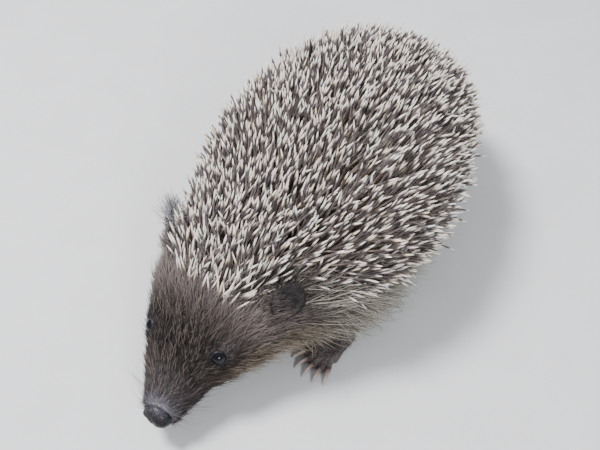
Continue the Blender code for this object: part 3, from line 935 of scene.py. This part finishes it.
# Shares of the length with their shares of the greatest radius. The tip is a point.
SPINE_PROFILE = ((0.0, 0.5), (0.15, 0.85), (0.55, 1.0), (0.85, 0.92), (0.95, 0.50))
SPINE_SPREAD = math.radians(21)
TILT_SPREAD = math.radians(11)
SPINE_BOW = 0.05
SPINE_SEAT = 0.8 * MM  # how deep a spine's root lies in the skin
SPINE_PIECES = 3
CROWN_DENSITY = 1.15  # how many more spines the crown has than the back, as a share


def make_spines(surface, rng):
    """Banded spines over crown, back and rump, whose tips reach the outline of the mantle."""
    forward = 1 - ramp(surface.points[:, 1], EAR_LINE.y, EAR_LINE.y + 30 * MM)
    weight = ramp(surface.fields["quilled"], 0.4, 0.6) * (1 + CROWN_DENSITY * forward)
    found = surface.scatter(weight, SPINE_SPACING, rng, even=True)
    count = len(found["point"])
    depth = np.maximum(found["depth"], 1.5 * MM)
    found["fullness"] = ramp(depth, 3 * MM, 13 * MM)
    length = SHORT_SPINE + (SPINE_LENGTH - SHORT_SPINE) * found["fullness"]
    found["length"] = length = length * rng.normal(1.0, 0.07, count)
    tilt = np.arcsin(np.clip(depth / length, 0.22, 0.85)) + rng.normal(0.0, TILT_SPREAD, count)
    found["ahead"] = headings(found, rng, SPINE_SPREAD, tilt)
    found["tone"] = rng.random(count)
    found["root"] = found["point"] - found["normal"] * SPINE_SEAT
    found["bend"] = -found["normal"] * SPINE_BOW
    kept = clear_lengths(found["root"], found["ahead"], found["bend"], length) > 0.8
    found = {name: values[kept] for name, values in found.items()}
    length, fullness = found["length"], found["fullness"]
    found["reach"] = np.minimum(length / SPINE_LENGTH, 1.0) * (0.56 + 0.44 * fullness)
    rows, girth = np.array(SPINE_PROFILE).T
    spine = bent_lines(found["root"], found["ahead"], found["bend"], length, np.append(rows, 1.0))
    radii = SPINE_RADIUS * girth[None] * rng.normal(1.0, 0.08, len(length))[:, None]
    radii = radii * (0.72 + 0.28 * fullness)[:, None]
    material = spine_material()
    order = np.argsort(found["point"][:, 1])
    for number, chosen in enumerate(np.array_split(order, SPINE_PIECES), start=1):
        part = {name: values[chosen] for name, values in found.items()}
        piece = strands(f"spines_{number}", part, spine[chosen], radii[chosen], rows, SPINE_SIDES, material)
        finish_piece(piece, "spines")


# --- fur

# Shares of a hair's length with their shares of its radius. The tip is a point.
SHORT_HAIR = ((0.0, 1.0), (0.45, 0.75))
LONG_HAIR = ((0.0, 1.0), (0.35, 0.85), (0.7, 0.55))
GUARD_HAIR = ((0.0, 0.9), (0.35, 0.9), (0.7, 0.6))
SKIRT_HAIR = ((0.0, 1.0), (0.3, 0.95), (0.6, 0.7), (0.85, 0.4))
WISP = ((0.0, 1.0), (0.3, 0.95), (0.6, 0.75), (0.85, 0.5))
WHISKER = ((0.0, 1.0), (0.3, 0.9), (0.6, 0.7), (0.85, 0.45))
HAIR_SIDES = 3
HAIR_FLATNESS = 0.6
HAIR_SEAT = 0.25 * MM  # how deep a hair's root lies in the skin
FLOOR_GAP = 0.6 * MM
LOCK = 9  # hairs for each lock


def make_fur(name, surface, rng, weight, spacing, length, radius, tilt, spread, material, profile=SHORT_HAIR,
             droop=0.0, curl=0.12, clump=0.0, tones=(0.0, 1.0), slot="fur", stops=True):
    """Hair where weight isn't 0. Sizes in mm, angles in degrees. length may be a function of the roots.

    curl bends the tips to the skin, droop bends them down, clump draws them into locks, tones is the range of
    the hairs' tones, and stops says that hairs stop short of the ears and the eyes.
    """
    found = surface.scatter(weight, spacing * MM, rng)
    count = len(found["point"])
    lengths = (length(found["point"]) if callable(length) else length) * MM
    lengths = lengths * np.clip(rng.normal(1.0, 0.18, count), 0.5, 1.6)
    tilts = math.radians(tilt) * np.clip(rng.normal(1.0, 0.35, count), 0.2, 2.2)
    ahead = headings(found, rng, math.radians(spread), tilts)
    found["tone"] = rng.uniform(*tones, count)
    root = found["point"] - found["normal"] * HAIR_SEAT
    bend = -found["normal"] * curl + np.array([0.0, 0.0, -droop])
    if stops:
        lengths = lengths * clear_lengths(root, ahead, bend, lengths)
    rows, girth = np.array(profile).T
    shares = np.append(rows, 1.0)
    spine = bent_lines(root, ahead, bend, lengths, shares)
    if clump:
        spine = gather(spine, found["point"], shares, clump, rng)
    spine[..., 2] = np.maximum(spine[..., 2], FLOOR_GAP)
    radii = radius * MM * girth[None] * rng.uniform(0.75, 1.2, count)[:, None]
    return finish_piece(strands(name, found, spine, radii, rows, HAIR_SIDES, material, HAIR_FLATNESS), slot)


def gather(spine, roots, shares, strength, rng):
    """Draws the tips of neighbouring hairs together into locks."""
    leaders = rng.choice(len(roots), max(len(roots) // LOCK, 1), replace=False)
    tree = tree_of(roots[leaders])
    nearest = np.array([leaders[tree.find(place)[1]] for place in roots])
    return spine + (spine[nearest] - spine) * strength * (shares**1.5)[None, :, None]


def ear_frame(side, points):
    """Places relative to an ear, in mm: towards its lower front corner, across that, and out of its face."""
    local = (points - np.array(EARS[side])) @ np.array(ear_turn(side)) / MM
    inward = -local[:, 0] * SIDES[side]
    return 0.6 * inward - 0.8 * local[:, 2], 0.8 * inward + 0.6 * local[:, 2], -local[:, 1]


def ear_fringe(points):
    """Where the hair is rooted that falls back over the lower front of each ear, and the way to the ear."""
    fringe, way = np.zeros(len(points)), np.zeros_like(points)
    for side, centre in EARS.items():
        corner, across, out = ear_frame(side, points)
        strip = ramp(corner, 3.5, 5.5) * (1 - ramp(corner, 10.0, 12.0)) * (1 - ramp(np.abs(across), 6.0, 9.0))
        strip *= 1 - ramp(np.abs(out), 7.0, 9.0)
        way[strip > fringe] = unit(np.array(centre) - points)[strip > fringe]
        fringe = np.maximum(fringe, strip)
    return fringe, way


def ear_wisps(points):
    """Where the wiry grey hair is rooted that stands behind the ruffled ear, and its way over the ear."""
    behind = points - np.array(EARS[RUFFLED])
    gap = gap_to(points, EARS[RUFFLED])
    wisps = ramp(gap, 3.5 * MM, 5 * MM) * (1 - ramp(gap, 12 * MM, 15 * MM))
    wisps *= ramp(behind[:, 1], -3 * MM, 1 * MM) * ramp(-behind[:, 0] * SIDES[RUFFLED], -4 * MM, 1 * MM)
    return wisps, np.tile((0.30 * SIDES[RUFFLED], 0.25, 0.85), (len(points), 1))


def coat_zones(surface):
    """Where each piece of the coat grows on the skin, apart from the hair round the ears."""
    normals, fields, height = surface.normals, surface.fields, surface.points[:, 2]
    head, spined = head_share(surface.points), fields["spined"]
    nose_gap = gap_to(surface.points, NOSE)
    eye_gap, ear_gap = least_gap(surface.points, EYES), least_gap(surface.points, EARS)
    body = np.clip((1 - fields["limb"]) * (1 - fields["paw"]) * (1 - fields["tail"]), 0, 1)
    furred = body * (1 - ramp(spined, 0.3, 0.7))
    face = (1 - ramp(head, 0.62, 0.85)) * furred * ramp(nose_gap, 5 * MM, 6 * MM)
    face *= eye_gap > EYE_RADIUS + 0.15 * MM
    whiskers = ramp(nose_gap, 6 * MM, 7.5 * MM) * (1 - ramp(nose_gap, 12 * MM, 15 * MM))
    behind_head = ramp(head, 0.95, 1.25) * furred
    under = ramp(-normals[:, 2], 0.35, 0.75)
    border = ramp(spined, 0.02, 0.15) * (1 - ramp(spined, 0.75, 0.95)) * body
    back = ramp(head, 0.3, 1.0)
    cheek = 1 - ramp(height, (21 + 12 * back) * MM, (31 + 6 * back) * MM)
    cheek *= ramp(head, 0.34, 0.58) * (1 - ramp(head, 0.95, 1.3)) * furred
    return {
        "fur_face": face,
        "fur_face_guard": face * ramp(eye_gap, 5 * MM, 8 * MM),
        "whiskers": whiskers * ramp(np.abs(normals[:, 0]), 0.3, 0.6) * ramp(normals[:, 2], -0.5, -0.2),
        "fur_crown": ramp(head, 0.55, 0.8) * (1 - ramp(head, 1.25, 1.5)) * furred,
        "fur_skirt": behind_head * (1 - under),
        "fur_belly": behind_head * under,
        "fur_border": border * ramp(ear_gap, 10 * MM, 14 * MM) * ramp(head, 1.0, 1.15),
        "fur_legs": np.clip(fields["limb"], 0, 1),
        "fur_paws": np.clip(fields["paw"], 0, 1) * ramp(normals[:, 2], -0.1, 0.3),
        "fur_tail": np.clip(fields["tail"], 0, 1),
        "fur_cheek": cheek * ramp(normals[:, 2], -0.85, -0.45),
        "body": body,
    }


def face_length(points):
    by_the_eyes = 0.62 + 0.38 * ramp(least_gap(points, EYES), 4 * MM, 9 * MM)
    return (3.0 + 3.9 * ramp(head_share(points), 0.05, 0.85)) * by_the_eyes


def guard_length(points):
    return 1.7 * face_length(points)


def crown_length(points):
    return 7.0 + 7.5 * ramp(head_share(points), 0.7, 1.35)


def cheek_length(points):
    return 6.0 + 6.5 * ramp(head_share(points), 0.35, 0.95)


def skirt_length(points):
    return 13 + 15 * ramp(points[:, 2], 17 * MM, 30 * MM)


def paw_length(points):
    return 1.9 + 3.4 * ramp(points[:, 2], 5 * MM, 11 * MM)


def make_coat(surface, rng):
    """All the hair that grows on the skin: face, crown, skirt, belly, legs, paws, tail and cheeks."""
    zones, lie = coat_zones(surface), surface.fields["lie"]
    fringe, to_ear = ear_fringe(surface.points)
    zones["fur_ear_fringe"] = fringe * zones["body"]
    zones["fur_ear_wisps"], over_ear = ear_wisps(surface.points)
    hair = hair_material("fur")
    face_hair = hair_material("face fur", (0.205, 0.165, 0.140), pale_from=0.74)
    long_hair = hair_material("skirt hair", (0.74, 0.68, 0.56), 0.15, 0.60)
    wisp_hair = hair_material("grey wisps", (0.66, 0.64, 0.69), 0.6, 0.4)
    paw_hair = hair_material("paw hair", (0.27, 0.235, 0.225), pale_from=0.5)
    cheek_hair = hair_material("cheek hair", (0.50, 0.41, 0.31), 0.15, 0.50)

    def grow(name, *sizes, on=surface, draws=rng, **style):
        make_fur(name, on, draws, zones[name], *sizes, **style)

    grow("fur_face", 0.55, face_length, 0.145, 19, 14, face_hair)
    grow("fur_face_guard", 1.15, guard_length, 0.14, 23, 16, face_hair, GUARD_HAIR, tones=(0.5, 1.0))
    grow("whiskers", 2.0, 13, 0.075, 38, 14, hair, WHISKER, droop=0.06, curl=0.06)
    grow("fur_crown", 0.78, crown_length, 0.20, 21, 17, hair, LONG_HAIR, clump=0.25)
    grow("fur_ear_fringe", 0.46, 10.5, 0.13, 50, 15, hair, LONG_HAIR, curl=0.25, clump=0.25,
         tones=(0.25, 0.9), stops=False, on=surface.relaid(0.5 * lie + to_ear))
    grow("fur_ear_wisps", 1.3, 11, 0.17, 48, 32, wisp_hair, WISP, curl=0.3,
         tones=(0.6, 1.0), stops=False, on=surface.relaid(0.3 * lie + over_ear))
    grow("fur_skirt", 0.95, skirt_length, 0.175, 21, 20, long_hair, SKIRT_HAIR, 0.10, 0.14, 0.42)
    grow("fur_belly", 1.5, 11, 0.20, 16, 20, hair, LONG_HAIR, clump=0.3)
    grow("fur_border", 1.0, 17, 0.13, 32, 26, long_hair, SKIRT_HAIR, 0.08, 0.10, tones=(0.55, 1.0))
    grow("fur_legs", 0.75, 5.0, 0.15, 18, 16, hair)
    grow("fur_paws", 0.55, paw_length, 0.13, 24, 20, paw_hair)
    grow("fur_tail", 0.8, 3.0, 0.12, 20, 20, hair)
    grow("fur_cheek", 1.2, cheek_length, 0.145, 28, 27, cheek_hair, SKIRT_HAIR, 0.12, 0.06, 0.4,
         tones=(0.25, 1.0), draws=np.random.default_rng(11))


# --- eyes, lids and nose

def ball(name, centre, shape_of, columns, rows, material):
    """A ball whose point in each direction is shape_of(direction)."""
    rings = []
    for row in range(1, rows):
        latitude = math.pi * row / rows
        girth, turns = math.sin(latitude), (2 * math.pi * k / columns for k in range(columns))
        ring = [Vector((girth * math.cos(a), -math.cos(latitude), girth * math.sin(a))) for a in turns]
        rings.append([centre + shape_of(direction) for direction in ring])
    ends = [centre + shape_of(Vector((0, way, 0))) for way in (-1, 1)]
    return capped_tube(name, rings, ends, material)


def make_eyes():
    """Eyeballs with a slight cornea, and their lids."""
    eye_look, lid_look = eye_material(), lid_material()
    for side, centre in EYES.items():
        axis = EYE_AXES[side]

        def cornea(direction):
            return direction * EYE_RADIUS * (1 + 0.05 * max(direction.dot(axis), 0) ** 6)

        finish_piece(ball("eyeball_" + side, centre, cornea, 40, 28, eye_look), "eye", "eye_" + side)
        finish_piece(make_lids(side, centre, axis, lid_look), "skin")


# Profile of the lids, as distances from the eye's axis and heights over its centre, in mm.
LID_PROFILE = (
    (2.62, 1.95), (2.62, 2.28), (2.70, 2.44), (2.84, 2.5), (3.0, 2.42), (3.18, 2.18), (3.42, 1.8),
    (3.7, 1.1), (3.3, 0.9), (2.85, 1.4),
)
LID_STEPS = 56
UPPER_LID = 0.12  # how far the upper lid stands over the lower, in mm
CORNER_SINK = 0.30  # how far the corners of the eye lie back, in mm


def make_lids(side, centre, axis, material):
    """Both lids in one ring that hugs the eyeball, longer from corner to corner."""
    along = Vector((0, 1, -0.25))
    along = (along - axis * along.dot(axis)).normalized()
    up = axis.cross(along).normalized()
    if up.z < 0:
        up = -up
    vertices = []
    for step in range(LID_STEPS):
        angle = 2 * math.pi * step / LID_STEPS
        spoke = along * math.cos(angle) + up * math.sin(angle)
        corner = abs(math.cos(angle)) ** 4
        for radial, height in LID_PROFILE:
            inner = 1 - float(ramp(radial, 2.9, 3.7))
            stretch = 1 + (0.09 * corner - 0.03 * abs(math.sin(angle))) * inner
            rise = (UPPER_LID * max(math.sin(angle), 0) - CORNER_SINK * corner) * inner
            vertices.append(centre + (spoke * radial * stretch + axis * (height + rise)) * MM)
    return smooth_object("lids_" + side, vertices, tube_faces(LID_STEPS, len(LID_PROFILE), True), material)


NOSTRIL_AIM = (0.70, -0.66, -0.26)
NOSTRIL_DEPTH = 0.42
WING_SWELL = 0.13
GROOVE_DEPTH = 0.15
PEBBLE_SIZE = 0.11  # as a share of the pad's half width
PEBBLE_RISE = 0.028
NOSE_SWELL = 1.05
NOSE_CHIN = 1.22  # how much farther the pad reaches below its middle than above
NOSE_SEAT = Vector((-0.4 * MM, 1.1 * MM, 0.0))


def make_nose():
    """The nose pad with a flat top, comma nostrils under swollen wings and the groove down to the lip."""
    low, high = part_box("nose")
    radii = (Vector(high) - Vector(low)) / 2 * NOSE_SWELL

    def pad(direction):
        x, y, z = direction
        scale = 1.0 - 0.12 * max(-y, 0) ** 4 - 0.07 * max(z, 0) ** 3
        scale += PEBBLE_RISE * noise.noise(direction / PEBBLE_SIZE)
        for side in SIDES.values():
            gap = direction - Vector((NOSTRIL_AIM[0] * side, *NOSTRIL_AIM[1:])).normalized()
            across = gap.x * side * 0.72 + gap.y * 0.68
            slit = (across / 0.26) ** 2 + ((gap.z + 0.55 * across) / 0.13) ** 2
            wing = (across / 0.42) ** 2 + ((gap.z - 0.30) / 0.24) ** 2
            scale += WING_SWELL * math.exp(-wing) - NOSTRIL_DEPTH * math.exp(-slit)
        groove = float(bell(x, 0.09) * ramp(-y, 0.1, 0.45) * (1 - ramp(z, 0.05, 0.6)))
        scale -= GROOVE_DEPTH * groove
        height = radii.z * (NOSE_CHIN if z < 0 else 1.0)
        return Vector((x * radii.x, y * radii.y, z * height)) * scale

    finish_piece(ball("nose_pad", NOSE + NOSE_SEAT, pad, 96, 72, nose_material()), "nose", "nose")


# --- ears

EAR_WIDE = 6.5 * MM
EAR_TALL = 8.8 * MM
EAR_BACK = 1.2 * MM  # how far the middle of the cup lies behind the ear's middle
EAR_CUP = 3.4 * MM
EAR_WALL = 0.9 * MM
EAR_LIP = 0.45 * MM
EAR_DEEP = 3.4 * MM  # half the depth that other hair leaves free, round a place behind the ear's middle
EAR_SEAT = 1.4 * MM
EAR_RINGS = 14
EAR_SIDES = 44
EAR_FACING = (math.radians(-14), math.radians(22), math.radians(38))  # pitch, roll and yaw


def ear_turn(side):
    pitch, roll, yaw = EAR_FACING
    sign = SIDES[side]
    turn = Matrix.Rotation(sign * yaw, 3, "Z") @ Matrix.Rotation(sign * roll, 3, "Y")
    return turn @ Matrix.Rotation(pitch, 3, "X")


def ear_point(side, share, angle, front):
    """A point of an ear's cup, for a share of the way to its rim, on its front or its back."""
    sign = SIDES[side]
    spread, upper = math.sin(share * math.pi / 2), max(math.sin(angle), 0)
    waist = 1 - 0.16 * float(ramp(-math.sin(angle), 0.1, 1.0))
    wave = 0.10 * math.sin(3 * angle + 0.8 * sign) * share**3
    rim = EAR_CUP * (1 - math.cos(share * math.pi / 2)) * (1 + wave - 0.35 * upper * share)
    fold = 1.3 * MM * math.exp(-(((share - 0.55) / 0.13) ** 2)) * max(math.sin(0.9 - angle * sign), 0) ** 2
    y = EAR_BACK - rim + (-fold if front else EAR_WALL * (1 - share**6))
    local = Vector((EAR_WIDE * spread * math.cos(angle) * waist, y, EAR_TALL * spread * math.sin(angle)))
    return EARS[side] + ear_turn(side) @ local


def make_ears(rng):
    """Cupped shells with a fold inside and a rounded lip, and their hair."""
    look, hair = ear_material(), hair_material("ear fuzz", (0.26, 0.235, 0.215))
    shares = [(ring + 1) / EAR_RINGS for ring in range(EAR_RINGS)]
    angles = [2 * math.pi * k / EAR_SIDES for k in range(EAR_SIDES)]
    for side in SIDES:
        rows = [[ear_point(side, share, angle, True) for angle in angles] for share in shares]
        lip = ear_turn(side) @ Vector((0, EAR_LIP, 0))
        rows.append([point + lip for point in rows[-1]])
        rows += [[ear_point(side, share, angle, False) for angle in angles] for share in shares[-2::-1]]
        ends = [ear_point(side, 0.0, 0.0, front) for front in (True, False)]
        ear = capped_tube("ear_shell_" + side, rows, ends, look)
        finish_piece(ear, "ear", "ear_" + side)
        fuzz_ear(side, Surface(ear.data), rng, hair)


def fuzz_ear(side, surface, rng, material):
    """Fuzz on an ear, brown hair across its lower front, and a grey tuft behind it or on its ruffled rim."""
    offset, turned = surface.points - np.array(EARS[side]), np.array(ear_turn(side))
    count, ruffled = len(offset), side == RUFFLED
    corner, distance = ear_frame(side, surface.points)[0], gap_to(surface.points, EARS[side])
    away = unit(offset + turned @ np.array([0.0, 0.0, 2 * MM]))
    behind = ramp(surface.normals @ turned[:, 1], -0.3, 0.4)
    rim = ramp(distance, 0.5 * EAR_WIDE, EAR_WIDE)
    inner = 1 - ramp(distance, 0.6 * EAR_WIDE, 0.85 * EAR_WIDE)
    front = mix(EAR_HAIR_DARK, EAR_HAIR, 0.75 * ramp(corner, -3.5, 3.0))
    front = mix(front, EAR_RIM_BROWN, rim * ramp(corner, -1.0, 3.0))
    if ruffled:
        front = mix(front, EAR_HAIR_BEHIND, 0.35 * rim * (1 - ramp(corner, 0.0, 3.0)))
    surface.fields = {name: np.zeros(count) for name in ("limb", "paw", "tail")}

    def grow(piece, weight, lie, marking, *sizes, **style):
        surface.fields.update(lie=lie, marking=marking)
        make_fur(f"{piece}_{side}", surface, rng, weight, *sizes, slot="ear", stops=False, **style)

    grow("ear_fuzz", 0.5 + 0.5 * rim, away, mix(front, EAR_HAIR_BEHIND, behind * inner),
         0.40, 1.9, 0.085, 22, 24, material)
    if ruffled:
        tuft, length, grey = rim * ramp(offset @ turned[:, 2], -3 * MM, 3 * MM), 9.0, WISP_GREY
        tuft_lie = 0.45 * away + np.array([0.10, 0.80, 0.65])
    else:
        tuft, length, grey = 0.3 * behind * (1 - rim), 4.0, EAR_HAIR_BEHIND
        tuft_lie = away + turned @ np.array([0.0, 0.9, 0.3])
    grow("ear_tuft", tuft, tuft_lie, np.tile(grey, (count, 1)),
         0.7, length, 0.15, 35, 32, material, WISP, curl=0.3, tones=(0.5, 1.0))
    over_cup = turned @ np.array([0.6 * SIDES[side], 0.0, 0.8])
    grow("ear_fringe", ramp(corner, 2.0, 5.0) * (1 - behind), np.tile(over_cup, (count, 1)),
         np.tile(CROWN, (count, 1)) * 0.7, 0.42, 4.6, 0.10, 24, 18, material, LONG_HAIR, tones=(0.2, 0.85))


# --- claws

CLAW_RINGS = 9
CLAW_SIDES = 10
CLAW_HOOK = 0.9 * MM  # how high the middle of a claw stands over the line from its root to its tip
CLAW_SEAT = 0.9  # how far a claw reaches into its toe, in mm


def make_claw(leg, number, look):
    """A curved claw of pale horn, from inside its toe to the tip of its solid."""
    root, tip, girth = claw_line(leg, number)
    ahead = (tip - root).normalized()
    root = root - ahead * CLAW_SEAT * MM
    side = ahead.cross(UP).normalized()
    shares = [ring / CLAW_RINGS for ring in range(CLAW_RINGS)]
    rings = []
    for share in shares:
        middle = root.lerp(tip, share) + UP * CLAW_HOOK * math.sin(math.pi * share)
        radius = girth * 1.25 * (1 - share**2.0) ** 0.8 + 0.03 * MM
        rings.append(ring_of(middle, side, side.cross(ahead), radius, CLAW_SIDES, 0.82))
    claw = capped_tube(f"claw_{leg}_{number}_horn", rings, [root, tip], look)
    keep_values(claw.data, "along", np.append(np.repeat(shares, CLAW_SIDES), (shares[0], shares[-1])))
    return claw


def make_claws():
    """All the claws, joined into one piece."""
    look = claw_material()
    pieces = [make_claw(leg, number, look) for leg, number in CLAWS]
    bpy.context.view_layer.update()
    with bpy.context.temp_override(active_object=pieces[0], selected_editable_objects=pieces):
        bpy.ops.object.join()
    pieces[0].name = "claws"
    finish_piece(pieces[0], "claw", *(f"claw_{leg}_{number}" for leg, number in CLAWS))


# --- studio

CAMERA_AZIMUTH = math.radians(36.1)
CAMERA_ELEVATION = math.radians(47.0)
CAMERA_DISTANCE = 0.340
CAMERA_AIM = Vector((0.00116, -0.01328, 0.03436))
CAMERA_LENS = 44.5
LIGHT_AIM = Vector((0, 0, 0.03))
FLOOR_REACH = 8.0


def make_camera():
    """The camera at the height and side from which the animal is seen."""
    data = bpy.data.cameras.new("camera")
    data.lens = CAMERA_LENS
    data.sensor_width = 36.0
    data.clip_start = 0.01
    camera = link(bpy.data.objects.new("camera", data))
    level, rise = math.cos(CAMERA_ELEVATION), math.sin(CAMERA_ELEVATION)
    away = Vector((math.sin(CAMERA_AZIMUTH) * level, -math.cos(CAMERA_AZIMUTH) * level, rise))
    camera.location = CAMERA_AIM + away * CAMERA_DISTANCE
    camera.rotation_euler = (-away).to_track_quat("-Z", "Y").to_euler()
    bpy.context.scene.camera = camera


def soft_light(name, place, size, power, colour):
    """A round soft light that points at the animal."""
    data = bpy.data.lights.new(name, "AREA")
    data.shape = "DISK"
    data.size = size
    data.energy = power
    data.color = colour
    light = link(bpy.data.objects.new(name, data))
    light.location = place
    light.rotation_euler = (LIGHT_AIM - Vector(place)).to_track_quat("-Z", "Y").to_euler()


def floor_material():
    """Pale and matt, and paler farther out."""
    nodes = Nodes("pale floor", Roughness=0.9, Specular_IOR_Level=0.05)
    away = nodes.add("ShaderNodeVectorMath", operation="LENGTH")
    nodes.feed(away.inputs[0], nodes.add("ShaderNodeTexCoord").outputs["Object"])
    share = nodes.math("DIVIDE", away.outputs["Value"], FLOOR_REACH)
    paler = nodes.ramp(share, ((0.06, 0.71), (0.16, 0.83), (0.38, 0.97)))
    nodes.colour(paler, nodes.mottle(30.0, 0.95, 1.0))
    return nodes.material


def make_studio():
    """Pale floor, sky-coloured surroundings and two soft lights."""
    mesh = bpy.data.meshes.new("floor")
    corners = ((-1, -1), (1, -1), (1, 1), (-1, 1))
    mesh.from_pydata([(x * FLOOR_REACH, y * FLOOR_REACH, 0) for x, y in corners], [], [(0, 1, 2, 3)])
    mesh.materials.append(floor_material())
    link(bpy.data.objects.new("floor", mesh))
    world = bpy.data.worlds.new("studio")
    bpy.context.scene.world = world
    world.use_nodes = True
    background = world.node_tree.nodes["Background"].inputs
    background["Color"].default_value = (0.88, 0.93, 1.0, 1.0)
    background["Strength"].default_value = 0.74
    soft_light("key", (-0.38, -0.22, 0.98), 0.3, 18.6, (0.975, 0.975, 1.0))
    soft_light("fill", (0.8, -0.6, 0.6), 0.32, 8.0, (0.94, 0.97, 1.0))


def main():
    rng = np.random.default_rng(7)
    make_camera()
    make_studio()
    surface = make_skin()
    make_spines(surface, rng)
    make_coat(surface, rng)
    make_eyes()
    make_nose()
    make_ears(rng)
    make_claws()


main()
